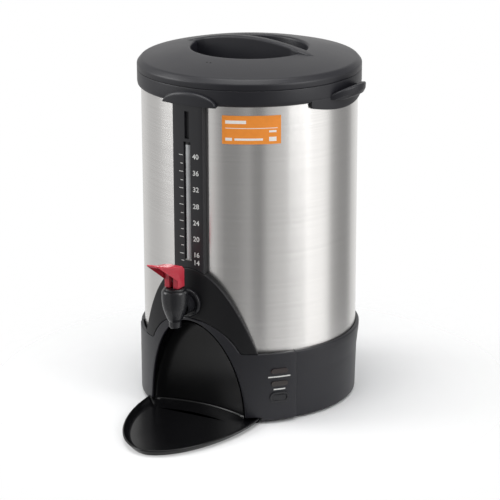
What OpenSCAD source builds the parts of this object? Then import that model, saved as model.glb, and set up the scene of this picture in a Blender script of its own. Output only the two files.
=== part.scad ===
// Coffee urn: steel percolator tank on a plastic base, with a front tap over
// an arched cup alcove, a sight gauge, a lift-off lid and a slide-out drip tray.
// Millimetres. +Z is up, the front with the tap faces -Y. The origin is on the
// tank's axis, on the table.

/* [Tank] */
// Outside diameter of the steel tank
tank_d = 215; // [206:1:224]
// Thickness of the tank's steel wall and floor
tank_wall = 0.8; // [0.6:0.1:1.2]
// Height of the tank's floor above the alcove's arch
floor_rise = 3.5; // [3.5:0.1:6]
// Height of the tank's open top edge above the table
tank_top_z = 326; // [316:1:350]
// Diameter of the pump well in the tank's floor
well_d = 52; // [46:1:56]
// Depth of the pump well below the tank's floor
well_depth = 9; // [7:0.5:10]

/* [Base] */
// Height of the base's top edge above the table
base_top_z = 73; // [70:0.5:76]
// How far the base's side stands out from the tank
base_proud = 1.9; // [1.2:0.1:2.6]
// How far the base's top lip stands out from the tank
lip_proud = 4.5; // [3.5:0.1:5.5]
// Height of the lower edge of the base's lip
lip_z = 57; // [52:1:60]
// Thickness of the base's and the cowl's moulded walls
base_wall = 2.8; // [2.4:0.1:3.4]
// How far the front of the base and the cowl stand forward of the tank
front_proud = 8; // [7.5:0.1:10]
// Half angle of the base's raised front, seen from the front's own centre
panel_half_angle = 59; // [57:0.5:62]
// Height of the base's bottom edge above the table
rim_z = 1.5; // [1:0.1:2.5]

/* [Alcove] */
// Half width of the cup alcove at the table
alcove_half_w = 55; // [50:0.5:57]
// Height of the alcove's arch above the table
alcove_h = 103.5; // [98:0.5:108]
// Distance from the tank's axis to the middle of the alcove's back wall
alcove_back_y = 84; // [82:0.5:88]
// Radius of the alcove's hollow back wall
alcove_back_r = 140; // [130:1:170]

/* [Cowl] */
// Height of the cowl's rounded top above the alcove's arch
cowl_rise = 54.5; // [52:0.5:58]
// Half width of the cowl where it meets the base
cowl_half_w = 66; // [63:0.5:69]
// Radius of the arched joint between the base and the cowl
seam_r = 55.6; // [55:0.1:57]
// Thickness of the base's band between the alcove's arch and that joint
band_t = 3; // [2.5:0.1:3.4]

/* [Gauge] */
// Width of the gauge strip
strip_w = 34; // [30:0.5:36]
// Outside diameter of the sight tube
tube_d = 7; // [6:0.2:7.4]
// Distance from the tank's top edge down to the top end of the sight tube
tube_drop = 45; // [36:1:70]

/* [Tap] */
// Height of the tap's shank above the alcove's arch
tap_rise = 19; // [18:0.5:22]
// Distance from the tank's axis to the tap's own axis
tap_y = 140; // [138:0.5:146]
// Outside diameter of the tap's body
tap_d = 25.6; // [24:0.2:28]
// Outside diameter of the tap's shank
shank_d = 16; // [14:0.5:17]
// Diameter of the flange behind the tap
flange_d = 28.5; // [26:0.5:32]

/* [Collar and handles] */
// How far the collar stands out from the tank
collar_proud = 3.8; // [3:0.1:5]
// Height of the collar's lower edge below the tank's top edge
collar_drop = 6; // [4:0.5:8]
// Height of the collar's top face above the tank's top edge
collar_rise = 10; // [8:0.5:12]
// Diameter of the tank's mouth inside the collar
mouth_d = 202; // [196:1:204]
// How far each side handle stands out from the tank
handle_reach = 19.5; // [16:0.5:24]

/* [Lid] */
// Height of the lid's dome above the collar's top face
dome_rise = 23.3; // [20:0.5:28]
// Half length of the lid's finger hollows, along the grip bar
hollow_half_w = 58; // [54:1:64]
// Half width of the lid's finger hollows, across the grip bar
hollow_half_d = 57; // [50:1:62]
// Half length of the grip bar
grip_half_l = 73; // [68:1:78]
// Thickness of the grip bar
grip_w = 9; // [8:0.5:14]

/* [Drip tray] */
// Half width of the drip tray
tray_half_w = 64; // [62:0.5:66]
// Distance from the tank's axis to the tray's front edge
tray_reach = 220; // [208:1:228]
// Height of the tray's rim above the table
tray_h = 7; // [6:0.5:9]
// How far the tray stands turned in the alcove
tray_turn = 5; // [0:0.5:6]
// Thickness of the tray's walls and floor
tray_wall = 2; // [1.6:0.1:2.6]

/* [Percolator] */
// Outside diameter of the pump tube
pump_d = 12; // [10:0.5:14]
// Outside diameter of the coffee basket
basket_d = 130; // [110:1:150]
// Height of the coffee basket's side
basket_h = 62; // [50:1:66]
// Distance from the tank's top edge down to the coffee basket's floor
basket_drop = 102; // [96:1:120]

/* [Clearances] */
// Gap between parts that meet but do not move
seat_gap = 0.3; // [0.2:0.05:0.4]
// Radial clearance of the running fits
run_gap = 0.06; // [0.03:0.01:0.1]

/* [Hidden] */
$fn = 96;

tank_r = tank_d / 2;
tank_in_r = tank_r - tank_wall;
base_r = tank_r + base_proud;
base_in_r = base_r - base_wall;
lip_r = tank_r + lip_proud;
ledge_z = base_top_z - 7;
ledge_r = tank_in_r - 0.7;
steel_r = tank_r + seat_gap;
reach = 2 * tank_r;
floor_r = tank_in_r - run_gap;
well_r = well_d / 2;
tank_floor_z = alcove_h + floor_rise;
well_z = tank_floor_z - well_depth;

front_in_r = tank_r - base_wall;
front_y = tank_r + front_proud;
seam_top_z = alcove_h + band_t;
seam_z = seam_top_z - seam_r;
seam_fillet = 5;
alcove_wall = 1.8;
plate_z = 5;
plate_t = 1.2;
plate_r = base_in_r - 2.6;
screw_r = 2;
boss_orbit = base_in_r - 19;
boss_h = 16;
boss_angles = [30, 150, -25, 205];

panel_angle = 49;
light_z = [55, 42];
light_w = 17;
light_h = 5;
switch_z = 27.5;
switch_w = 17;
switch_h = 8;
switch_tilt = 6;
switch_pivot = 4;

cowl_top_z = alcove_h + cowl_rise;

tube_r = tube_d / 2;
tube_top_z = tank_top_z - tube_drop;
tube_y = front_y - tube_r - 0.6;
tube_bore = tube_r - 1;
tube_z = cowl_top_z + 8.3;
slot_w = tube_d + 0.5;
elbow_z = cowl_top_z + 4.3;
elbow_r = 2.8;

shank_r = shank_d / 2;
tap_z = alcove_h + tap_rise;
flange_t = 3.6;
tap_r = tap_d / 2;
tap_top_z = tap_z + 20.1;
bonnet_z = tap_top_z + 2.4;
spout_z = tap_z - 18.5;
seat_z = tap_z - 8.5;
stem_r = 2;
pin_r = 1.5;
yoke_foot = 0.3;
pin_z = bonnet_z + yoke_foot + 6;
yoke_half_w = 8;
yoke_half_d = 6;
yoke_slot = 4.6;
yoke_h = 19.5;
lever_w = 13;
lever_knee = 20;
lever_knee_z = bonnet_z + 25;
lever_end = 33.5;
lever_end_z = bonnet_z + 31;
lever_end_r = 5;

collar_r = tank_r + collar_proud;
collar_z = tank_top_z - collar_drop;
collar_top_z = tank_top_z + collar_rise;
mouth_r = mouth_d / 2;
handle_r = 30;
handle_x = tank_r + handle_reach - handle_r;
handle_top_z = collar_top_z - 3;
handle_lip = 6;
boss_half_w = strip_w / 2 + 14;
boss_rise = 14;

lid_z = collar_top_z + seat_gap;
dome_z = collar_top_z + dome_rise;
lid_wall = 2.6;
hollow_z = collar_top_z - 6;
crown_z = dome_z + 6.7;
dome_fall = 12.24;
steam_x = 2;
steam_y = 75;
steam_r = 0.8;
plug_r = mouth_r - 1.6;

tray_mid_y = 100;
tray_shift = 3;
tray_power = 1.81;
tray_shoulder = 10;
tray_slope = 5;
tray_lip = 1.5;
tray_gap = 0.8;
tray_neck = 50;

outlet_angle = 90;
gasket_t = 2;
gasket_r = shank_r + 3;
wall_y = sqrt(tank_in_r * tank_in_r - gasket_r * gasket_r) - seat_gap;

inlet_z = 38;
inlet_w = 48;
inlet_h = 24;
inlet_hole_w = 28;
inlet_hole_h = 20;
inlet_screw_x = inlet_w / 2 - 4;
inlet_screw_r = 1.5;
pad_y = lip_r - 2.2;

label_angle = 17;
label_turn = 30.4;
label_h = 28;
label_z = tank_top_z - 42.5;

handle_screw_angles = [-6, 6, 174, 186];
handle_screw_z = tank_top_z - 11;
handle_screw_l = 3.6;

spring_r = 4;
spring_wire_r = 0.5;
spring_turns = 7;
spring_z = seat_z + 7.2 + spring_wire_r + 0.1;
spring_top_z = tap_top_z - 2 - spring_wire_r - 0.1;
spring_rings = 12;

plate_h = 3;
heater_z = tank_floor_z - plate_h;
main_heater_r = well_r + 13;
main_tube_r = 4;
warming_r = well_r + 29;
warming_tube_r = 3;
main_open = 14;
warming_open = 18;
main_drop = 16;
warming_drop = 12;
pin_drop = 6;
bolt_r = 3;
bolt_nut = 10;
bracket_w = 16;
bracket_t = 2;
bracket_z = heater_z - 2 * main_tube_r - bracket_t - seat_gap;

fuse_r = warming_r + 16;

block_x = 46;
block_y = 30;
block_top = plate_z + plate_t + 14;

inlet_pin_places = [[-7, -1], [0, 3], [7, -1]];

wire_r = 1.5;
wire_sides = 6;
wire_steps = 4;
// No wire runs in this direction, so it sets how a wire's rings are turned
wire_side = [0.31, -0.17, 0.93];

foot_z = well_z + tank_wall + 0.1;
pump_r = pump_d / 2;
basket_z = tank_top_z - basket_drop;
pump_top_z = basket_z + basket_h + 20;
stop_r = pump_r + 3;
sleeve_gap = 0.2;
basket_t = 1;

// ---------- outlines and shared shapes ----------

function arc_points(cx, cy, r, a0, a1, n) =
    [for (i = [0:n]) let (a = a0 + (a1 - a0) * i / n) [cx + r * cos(a), cy + r * sin(a)]];

function mirrored(points) =
    concat(points, [for (i = [len(points) - 1:-1:0]) [-points[i][0], points[i][1]]]);

function bezier(p0, p1, p2, p3, n) =
    [for (i = [0:n]) let (t = i / n, u = 1 - t)
        u * u * u * p0 + 3 * u * u * t * p1 + 3 * u * t * t * p2 + t * t * t * p3];

// Half ellipse that stands on the table
function arch_points(half_w, h, n) =
    [for (i = [0:n]) let (a = 180 * i / n) [half_w * cos(a), h * sin(a)]];

// Joint between base and cowl: a round arch that runs out into a level line
function seam_side(gap) =
    let (
        rise = base_top_z + seam_fillet - seam_z,
        out = sqrt(pow(seam_r + seam_fillet, 2) - rise * rise),
        a = atan2(rise, out)
    )
    concat(
        arc_points(0, seam_z, seam_r + gap, 90, a, 14),
        arc_points(out, base_top_z + seam_fillet, seam_fillet - gap, 180 + a, 270, 5)
    );

// Everything below that joint
function seam_outline(gap) =
    mirrored(concat(seam_side(gap), [[reach, base_top_z + gap], [reach, 0]]));

// Outer outline of the cowl, drawn in by inset
function cowl_side(inset) =
    bezier(
        [0, cowl_top_z - inset], [cowl_half_w * 0.42, cowl_top_z - inset],
        [cowl_half_w * 0.76 - inset, cowl_top_z - 34 - inset / 2], [cowl_half_w - inset, base_top_z - 1], 18
    );

// An X-Z outline drawn forward from the tank's axis
module to_front(depth) {
    rotate([90, 0, 0]) linear_extrude(height = depth) children();
}

// A round hole or rod along Y, from y0 forward to y1
module along_front(r, y0, y1, z) {
    translate([0, -y0, z]) rotate([90, 0, 0]) cylinder(r = r, h = y1 - y0);
}

// The cylinder that carries the front of the base and the cowl
module front_drum(r, z0, z1) {
    translate([0, -front_proud, z0]) cylinder(r = r, h = z1 - z0, $fn = 180);
}

module tube_ring(r_out, r_in, z0, z1) {
    translate([0, 0, z0]) difference() {
        cylinder(r = r_out, h = z1 - z0, $fn = 180);
        translate([0, 0, -1]) cylinder(r = r_in, h = z1 - z0 + 2, $fn = 180);
    }
}

// Children move to the control panel, with -Y pointing out of its surface
module at_panel(z) {
    translate([0, -front_proud, z]) rotate([0, 0, panel_angle]) translate([0, -tank_r, 0]) children();
}

// An oval bar along X with round ends, from y0 out to y1 forward
module oval_bar(w, h, y0, y1) {
    straight = w - h;
    translate([-straight / 2, -y1, -h / 2]) cube([straight, y1 - y0, h]);
    for (side = [-1, 1])
        translate([side * straight / 2, -y0, 0]) rotate([90, 0, 0])
            cylinder(r = h / 2, h = y1 - y0, $fn = 48);
}

module hex_nut(across, h) {
    cylinder(d = across / cos(30), h = h, $fn = 6);
}

// ---------- base ----------

// The wedge of the raised front, seen from above
module front_wedge(half_angle) {
    translate([0, -front_proud, -1]) linear_extrude(height = seam_top_z + 10)
        polygon([[0, 0], [-reach * sin(half_angle), -reach * cos(half_angle)],
            [reach * sin(half_angle), -reach * cos(half_angle)]]);
}

module base_round() {
    rotate_extrude($fn = 180) polygon([
        [0, rim_z], [base_r - 3.2, rim_z], [base_r - 1.1, rim_z + 2.7], [base_r, rim_z + 8],
        [base_r, lip_z], [lip_r - 0.5, lip_z + 4.5], [lip_r, lip_z + 7], [lip_r, base_top_z - 2.4],
        [lip_r - 0.8, base_top_z - 0.7], [lip_r - 2.4, base_top_z], [0, base_top_z]
    ]);
}

module base_front() {
    intersection() {
        translate([0, -front_proud, 0])
            rotate_extrude(angle = 2 * panel_half_angle, start = -90 - panel_half_angle, $fn = 180)
                polygon([
                    [0, rim_z], [tank_r - 3.2, rim_z], [tank_r - 1.1, rim_z + 2.7],
                    [tank_r, rim_z + 8], [tank_r, seam_top_z + 2], [0, seam_top_z + 2]
                ]);
        to_front(reach) polygon(seam_outline(0));
    }
}

module base_hollow() {
    rotate_extrude($fn = 180) polygon([
        [0, 0], [base_in_r - 3, 0], [base_in_r - 3, rim_z + 2], [base_in_r, rim_z + 8],
        [base_in_r, ledge_z - 6], [ledge_r, ledge_z - 3], [ledge_r, ledge_z],
        [steel_r, ledge_z], [steel_r, seam_top_z + 5], [0, seam_top_z + 5]
    ]);
    translate([0, -front_proud, 0])
        rotate_extrude(angle = 2 * panel_half_angle - 4, start = -88 - panel_half_angle, $fn = 180)
            polygon([
                [0, 0], [front_in_r - 3, 0], [front_in_r - 3, rim_z + 2], [front_in_r, rim_z + 8],
                [front_in_r, seam_top_z + 5], [0, seam_top_z + 5]
            ]);
}

module base_boss(angle) {
    rotate([0, 0, angle]) {
        translate([boss_orbit, 0, plate_z + plate_t]) cylinder(r = 5, h = boss_h);
        translate([boss_orbit, -1.5, plate_z + plate_t]) cube([base_in_r + 1 - boss_orbit, 3, boss_h]);
    }
}

module inlet_pad() {
    translate([-inlet_w / 2 - 2, base_in_r - 5, inlet_z - inlet_h / 2 - 2])
        cube([inlet_w + 4, pad_y - base_in_r + 5, inlet_h + 4]);
}

module base_shell() color([0.16, 0.16, 0.17]) difference() {
    union() {
        difference() {
            union() {
                difference() {
                    base_round();
                    front_wedge(panel_half_angle - 1);
                }
                base_front();
            }
            base_hollow();
        }
        inlet_pad();
        for (angle = boss_angles) base_boss(angle);
    }
    to_front(reach) polygon(concat(
        arch_points(alcove_half_w, alcove_h, 48), [[-alcove_half_w, -5], [alcove_half_w, -5]]
    ));
    tray_notch();
    for (angle = boss_angles) rotate([0, 0, angle])
        translate([boss_orbit, 0, 0])
            cylinder(r = screw_r + run_gap, h = plate_z + plate_t + boss_h - 2, $fn = 32);
    for (z = light_z) at_panel(z) oval_bar(light_w - 1.4, light_h - 1.4, -8, 5);
    at_panel(switch_z) oval_bar(switch_w + 0.6, switch_h + 0.6, -8, 5);
    translate([-inlet_hole_w / 2, base_in_r - 20, inlet_z - inlet_hole_h / 2])
        cube([inlet_hole_w, 40, inlet_hole_h]);
    for (side = [-1, 1]) translate([side * inlet_screw_x, pad_y + 1, inlet_z])
        rotate([90, 0, 0]) cylinder(r = inlet_screw_r + run_gap, h = 9, $fn = 32);
}

// Everything that lies further than x from the middle, on both sides
module beside(x) {
    for (side = [-1, 1]) translate([side * (reach + x) / 2, 0, 0])
        cube([reach - x, 2 * reach, 4 * tray_h], center = true);
}

// Room for the tray's shoulders at both feet of the alcove
module tray_notch() {
    intersection() {
        for (back = [0, 8]) translate([0, back, 0]) tray_slab(-tray_gap, -1, tray_h + 1 + seat_gap);
        beside(tray_neck);
    }
}

module alcove_solid(inset) {
    intersection() {
        to_front(reach) polygon(concat(
            arch_points(alcove_half_w - inset, alcove_h - inset, 48),
            [[-alcove_half_w + inset, -5], [alcove_half_w - inset, -5]]
        ));
        translate([0, -alcove_back_y - alcove_back_r, -5])
            cylinder(r = alcove_back_r + seat_gap + alcove_wall - inset, h = alcove_h + 10, $fn = 180);
    }
}

module alcove_liner() color([0.05, 0.05, 0.05]) difference() {
    intersection() {
        alcove_solid(seat_gap);
        front_drum(tank_r - 1, rim_z, alcove_h);
    }
    alcove_solid(seat_gap + alcove_wall);
    tray_notch();
}

module front_cowl() color([0.11, 0.11, 0.12]) difference() {
    intersection() {
        to_front(reach) polygon(mirrored(cowl_side(0)));
        front_drum(tank_r, 0, cowl_top_z + 2);
    }
    intersection() {
        to_front(reach) polygon(mirrored(cowl_side(base_wall)));
        front_drum(front_in_r, 0, cowl_top_z);
    }
    to_front(reach) polygon(seam_outline(seat_gap));
    translate([0, 0, -1]) cylinder(r = steel_r, h = cowl_top_z + 10, $fn = 180);
    along_front(shank_r + seat_gap, tank_r - 5, front_y + 5, tap_z);
}

module bottom_plate() color([0.6, 0.6, 0.62]) difference() {
    translate([0, 0, plate_z]) cylinder(r = plate_r, h = plate_t, $fn = 180);
    translate([0, -alcove_back_y - alcove_back_r, 0])
        cylinder(r = alcove_back_r + alcove_wall + 3 * seat_gap, h = 20, $fn = 180);
    for (angle = boss_angles) rotate([0, 0, angle])
        translate([boss_orbit, 0, 0]) cylinder(r = screw_r + run_gap, h = 20, $fn = 32);
    cylinder(r = bolt_r + run_gap, h = 20, $fn = 48);
    tray_notch();
}

module foot_ring() color([0.09, 0.09, 0.09])
    rotate_extrude(angle = 270, start = -45, $fn = 180)
        polygon([
            [base_in_r - 12, 0], [base_in_r - 6, 0], [base_in_r - 5, plate_z], [base_in_r - 13, plate_z]
        ]);

module base_screws() color([0.7, 0.7, 0.7]) for (angle = boss_angles) rotate([0, 0, angle])
    translate([boss_orbit, 0, plate_z]) {
        translate([0, 0, -2.4]) cylinder(r = 3.6, h = 2.4, $fn = 48);
        cylinder(r = screw_r, h = plate_t + 12, $fn = 32);
    }

// ---------- tank ----------

module tank() color([0.75, 0.75, 0.76]) difference() {
    tube_ring(tank_r, tank_in_r, ledge_z, tank_top_z);
    to_front(reach) polygon(concat(
        arch_points(alcove_half_w + 1, alcove_h + 1, 48), [[-alcove_half_w, -5], [alcove_half_w, -5]]
    ));
    along_front(shank_r + seat_gap, tank_r - 10, tank_r + 5, tap_z);
    along_front(elbow_r + seat_gap, tank_r - 10, tank_r + 5, elbow_z);
    for (angle = handle_screw_angles) rotate([0, 0, angle])
        translate([tank_r - 5, 0, handle_screw_z]) rotate([0, 90, 0])
            cylinder(r = screw_r + run_gap, h = 10, $fn = 32);
}

module tank_floor() color([0.72, 0.72, 0.73]) rotate_extrude($fn = 180) polygon([
    [floor_r, tank_floor_z], [floor_r, tank_floor_z + tank_wall], [well_r, tank_floor_z + tank_wall],
    [well_r, well_z + tank_wall], [0, well_z + tank_wall], [0, well_z],
    [well_r + tank_wall, well_z], [well_r + tank_wall, tank_floor_z]
]);

module handle() {
    difference() {
        union() {
            rotate_extrude(angle = 50, start = -25, $fn = 180) translate([steel_r - 1, tank_top_z - 18])
                square([collar_r - steel_r + 1, 14]);
            translate([handle_x, 0, tank_top_z - 16])
                cylinder(r1 = handle_r - 19, r2 = handle_r - 0.6,
                    h = handle_top_z - handle_lip - tank_top_z + 16);
            translate([handle_x, 0, handle_top_z - handle_lip]) cylinder(r = handle_r, h = handle_lip);
        }
        cylinder(r = steel_r, h = tank_top_z + 40, $fn = 180);
        difference() {
            translate([handle_x, 0, handle_top_z - 7.5]) cylinder(r = handle_r - 4, h = 20);
            cylinder(r = collar_r + 0.4, h = tank_top_z + 40, $fn = 180);
        }
        for (angle = [-6, 6]) rotate([0, 0, angle]) translate([tank_in_r - 5, 0, handle_screw_z])
            rotate([0, 90, 0]) cylinder(r = screw_r + run_gap, h = handle_screw_l + 5.2, $fn = 32);
    }
}

module gauge_boss() {
    intersection() {
        to_front(reach) polygon([for (i = [0:24]) let (a = 180 * i / 24)
            [boss_half_w * cos(a), collar_z + boss_rise * sin(a)]]);
        front_drum(tank_r + 1.5, collar_z - 1, collar_top_z - 1);
    }
}

module collar() color([0.16, 0.16, 0.17]) {
    rotate_extrude($fn = 180) polygon([
        [steel_r, collar_z], [collar_r - 2.2, collar_z], [collar_r - 0.6, collar_z + 1],
        [collar_r, collar_z + 3.2], [collar_r, collar_top_z - 0.8], [collar_r - 0.8, collar_top_z],
        [mouth_r, collar_top_z], [mouth_r, collar_z], [mouth_r + 2.5, collar_z],
        [mouth_r + 2.5, tank_top_z + seat_gap], [steel_r, tank_top_z + seat_gap]
    ]);
    difference() {
        gauge_boss();
        translate([0, 0, collar_z - 5]) cylinder(r = steel_r, h = 60, $fn = 180);
    }
    for (turn = [0, 180]) rotate([0, 0, turn]) handle();
}

module handle_screws() color([0.7, 0.7, 0.7]) for (angle = handle_screw_angles) rotate([0, 0, angle])
    translate([tank_in_r - 0.1, 0, handle_screw_z]) {
        rotate([0, -90, 0]) cylinder(r = 3.8, h = 2.2, $fn = 48);
        rotate([0, 90, 0]) cylinder(r = screw_r, h = handle_screw_l, $fn = 32);
    }

module label_plate() color([0.98, 0.66, 0.3])
    rotate_extrude(angle = label_turn, start = -90 + label_angle, $fn = 180)
        translate([tank_r + 0.05, label_z]) square([0.25, label_h]);

// ---------- gauge ----------

module gauge_strip() color([0.2, 0.2, 0.2]) difference() {
    intersection() {
        translate([-strip_w / 2, -front_y - 1, elbow_z - 12])
            cube([strip_w, front_y, collar_z - seat_gap - elbow_z + 12]);
        front_drum(tank_r, 0, tank_top_z);
    }
    translate([0, 0, -1]) cylinder(r = steel_r, h = tank_top_z + 2, $fn = 180);
    to_front(reach) polygon(mirrored(cowl_side(-seat_gap)));
    translate([0, -tube_y, tube_z]) cylinder(r = tube_r + seat_gap, h = tube_top_z + 4 - tube_z, $fn = 48);
    translate([-slot_w / 2, -front_y - 2, tube_z - 1])
        cube([slot_w, front_y + 2 - tube_y, tube_top_z - tube_z]);
    translate([-2.6, -front_y - 2, tube_top_z + 6]) cube([5.2, 3.2, collar_z - tube_top_z - 12]);
    translate([-5.3, -tube_y - tube_r - 0.1, 0]) cube([10.6, 20, tube_z + 0.1]);
}

module sight_tube() color([0.8, 0.85, 0.85, 0.5]) translate([0, -tube_y, tube_z]) difference() {
    cylinder(r = tube_r, h = tube_top_z - tube_z, $fn = 48);
    translate([0, 0, -1]) cylinder(r = tube_bore, h = tube_top_z - tube_z + 2, $fn = 48);
}

module gauge_plug() color([0.1, 0.1, 0.1]) translate([0, -tube_y, tube_top_z]) {
    cylinder(r = tube_r, h = 3, $fn = 48);
    translate([0, 0, -5]) difference() {
        cylinder(r = tube_bore - run_gap, h = 5, $fn = 48);
        translate([0, 0, -1]) cylinder(r = 1, h = 5, $fn = 24);
    }
}

module gauge_elbow() color([0.85, 0.85, 0.82]) difference() {
    union() {
        translate([-5, -tube_y - tube_r + 0.4, elbow_z - 3.6])
            cube([10, tube_y + tube_r - 0.4 - steel_r - 0.1, tube_z - elbow_z + 3.5]);
        translate([0, -tube_y, tube_z - 1]) cylinder(r = tube_bore - run_gap, h = 9, $fn = 48);
        along_front(elbow_r, tank_in_r - 8, tube_y, elbow_z);
    }
    along_front(1.3, tank_in_r - 10, tube_y, elbow_z);
    translate([0, -tube_y, elbow_z]) cylinder(r = 1.3, h = 30, $fn = 24);
}

module elbow_nut() color([0.75, 0.6, 0.3]) translate([0, -wall_y - 0.2, elbow_z]) rotate([-90, 0, 0])
    difference() {
    hex_nut(2 * elbow_r + 5.4, 4);
    translate([0, 0, -1]) cylinder(r = elbow_r + run_gap, h = 6, $fn = 48);
}

// ---------- tap ----------

module tap_flange() color([0.08, 0.08, 0.08]) translate([0, -front_y - 0.1, tap_z]) rotate([90, 0, 0])
    rotate_extrude($fn = 96) polygon([
        [shank_r + run_gap, 0], [flange_d / 2 - 0.5, 0], [flange_d / 2, 0.6],
        [flange_d / 2 - 0.2, flange_t - 1.3], [flange_d / 2 - 1.6, flange_t], [shank_r + run_gap, flange_t]
    ]);

module tap_body() color([0.1, 0.1, 0.11]) difference() {
    union() {
        translate([0, -tap_y, 0]) rotate_extrude($fn = 96) polygon([
            [0, spout_z], [5.0, spout_z], [5.6, spout_z + 1], [6.2, tap_z - 12], [8.0, tap_z - 8.6],
            [tap_r - 3, tap_z - 4], [tap_r - 1.2, tap_z + 1.5], [tap_r - 0.3, tap_z + 7],
            [tap_r, tap_z + 12],
            [tap_r - 0.1, tap_top_z - 2], [tap_r - 0.9, tap_top_z], [0, tap_top_z]
        ]);
        along_front(shank_r + 1.6, front_y + flange_t + 0.2, tap_y, tap_z);
        along_front(shank_r, tank_in_r - 13, tap_y, tap_z);
    }
    translate([0, -tap_y, 0]) rotate_extrude($fn = 96) polygon([
        [0, spout_z - 1], [4.2, spout_z - 1], [4.2, seat_z - 3.5], [3.4, seat_z - 2.5], [3.4, seat_z],
        [5.5, seat_z], [tap_r - 5.8, seat_z + 6], [tap_r - 3.4, seat_z + 14], [tap_r - 2.6, tap_top_z - 6],
        [tap_r - 2.6, tap_top_z + 1], [0, tap_top_z + 1]
    ]);
    along_front(shank_r - 2.6, tank_in_r - 14, tap_y, tap_z);
}

module tap_gasket() color([0.7, 0.2, 0.15])
    along_ring(gasket_r, shank_r + run_gap, wall_y - gasket_t, wall_y);

// A flat ring on the shank's axis, from y0 forward to y1
module along_ring(r_out, r_in, y0, y1) {
    difference() {
        along_front(r_out, y0, y1, tap_z);
        along_front(r_in, y0 - 1, y1 + 1, tap_z);
    }
}

module tap_nut() color([0.75, 0.6, 0.3]) difference() {
    translate([0, -wall_y + gasket_t, tap_z]) rotate([-90, 0, 0]) rotate([0, 0, 30])
        hex_nut(shank_d + 7, 6);
    along_front(shank_r + run_gap, wall_y - gasket_t - 8, wall_y, tap_z);
}

module tap_bonnet() color([0.07, 0.07, 0.07]) translate([0, -tap_y, 0]) difference() {
    union() {
        translate([0, 0, tap_top_z - 5]) cylinder(r = tap_r - 2.6 - run_gap, h = 5.1);
        translate([0, 0, tap_top_z + 0.1]) cylinder(r = tap_r - 2.2, h = bonnet_z - tap_top_z - 0.1);
    }
    translate([0, 0, tap_top_z - 6]) cylinder(r = stem_r + run_gap, h = 20, $fn = 48);
    translate([0, 0, tap_top_z - 6]) cylinder(r = tap_r - 4.6, h = 4);
}

module tap_stem() color([0.8, 0.8, 0.8]) translate([0, -tap_y, 0]) difference() {
    union() {
        translate([0, 0, seat_z + 4]) cylinder(r = stem_r, h = pin_z + 3.6 - seat_z - 4, $fn = 48);
        translate([0, 0, seat_z + 6.2]) cylinder(r = 4.4, h = 1, $fn = 48);
    }
    translate([-5, 0, pin_z]) rotate([0, 90, 0]) cylinder(r = pin_r + run_gap, h = 10, $fn = 32);
}

module seat_cup() color([0.85, 0.85, 0.8]) translate([0, -tap_y, 0]) difference() {
    rotate_extrude($fn = 64) polygon([
        [0, seat_z + 0.1], [4.6, seat_z + 0.1], [5.2, seat_z + 1.4], [5.6, seat_z + 6], [0, seat_z + 6]
    ]);
    translate([0, 0, seat_z + 4 - run_gap]) cylinder(r = stem_r + run_gap, h = 10, $fn = 48);
}

function spring_point(i, j) =
    let (
        turn = 360 * i / spring_rings,
        side = 60 * j,
        r = spring_r + spring_wire_r * cos(side),
        z = spring_z + (spring_top_z - spring_z) * i / (spring_turns * spring_rings)
    )
    [r * cos(turn), r * sin(turn), z + spring_wire_r * sin(side)];

module tap_spring() color([0.7, 0.7, 0.7]) translate([0, -tap_y, 0]) {
    last = spring_turns * spring_rings;
    polyhedron(
        points = [for (i = [0:last]) for (j = [0:5]) spring_point(i, j)],
        faces = concat(
            [for (i = [0:last - 1]) for (j = [0:5]) let (k = (j + 1) % 6)
                [6 * i + j, 6 * i + k, 6 * i + 6 + k]],
            [for (i = [0:last - 1]) for (j = [0:5]) let (k = (j + 1) % 6)
                [6 * i + j, 6 * i + 6 + k, 6 * i + 6 + j]],
            [for (j = [1:4]) [0, j + 1, j]],
            [for (j = [1:4]) [6 * last, 6 * last + j, 6 * last + j + 1]]
        )
    );
}

module tap_lever() color([0.75, 0.12, 0.16]) translate([0, -tap_y, 0]) difference() {
    union() {
        translate([-yoke_half_w, -yoke_half_d, bonnet_z + yoke_foot])
            cube([2 * yoke_half_w, 2 * yoke_half_d, yoke_h]);
        hull() {
            translate([-yoke_half_w, -yoke_half_d, bonnet_z + yoke_h - 2.5])
                cube([2 * yoke_half_w, 2 * yoke_half_d, 5]);
            translate([-lever_w / 2, -lever_knee, lever_knee_z]) cube([lever_w, 2, 3.6]);
        }
        hull() {
            translate([-lever_w / 2, -lever_knee, lever_knee_z]) cube([lever_w, 2, 3.6]);
            translate([0, -lever_end, lever_end_z]) cylinder(r = lever_end_r, h = 3, $fn = 32);
        }
    }
    translate([-yoke_slot / 2, -yoke_half_d - 1, bonnet_z]) cube([yoke_slot, 2 * yoke_half_d + 2, 13]);
    translate([-20, 0, pin_z]) rotate([0, 90, 0]) cylinder(r = pin_r + run_gap, h = 40, $fn = 32);
}

module lever_pin() color([0.8, 0.8, 0.8]) translate([-yoke_half_w + 0.2, -tap_y, pin_z])
    rotate([0, 90, 0]) cylinder(r = pin_r, h = 2 * yoke_half_w - 0.4, $fn = 32);

// ---------- heating and wiring ----------

module heater_plate() color([0.75, 0.75, 0.77])
    tube_ring(warming_r + 5, well_r + tank_wall + seat_gap, heater_z, tank_floor_z);

// A tubular heating element: most of a ring, with both ends turned down
module heater_tube(orbit, r, open_angle, drop) {
    translate([0, 0, heater_z - r - 0.1]) {
        rotate([0, 0, open_angle]) rotate_extrude(angle = 360 - 2 * open_angle, $fn = 96)
            translate([orbit, 0]) circle(r = r, $fn = 32);
        for (side = [-1, 1]) rotate([0, 0, side * open_angle]) translate([orbit, 0, 0]) {
            sphere(r = r, $fn = 32);
            translate([0, 0, -drop]) cylinder(r = r, h = drop, $fn = 32);
            translate([0, 0, -drop - pin_drop]) cylinder(r = 1, h = pin_drop + 1, $fn = 24);
        }
    }
}

module main_heater() color([0.45, 0.4, 0.38]) rotate([0, 0, outlet_angle])
    heater_tube(main_heater_r, main_tube_r, main_open, main_drop);

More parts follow.
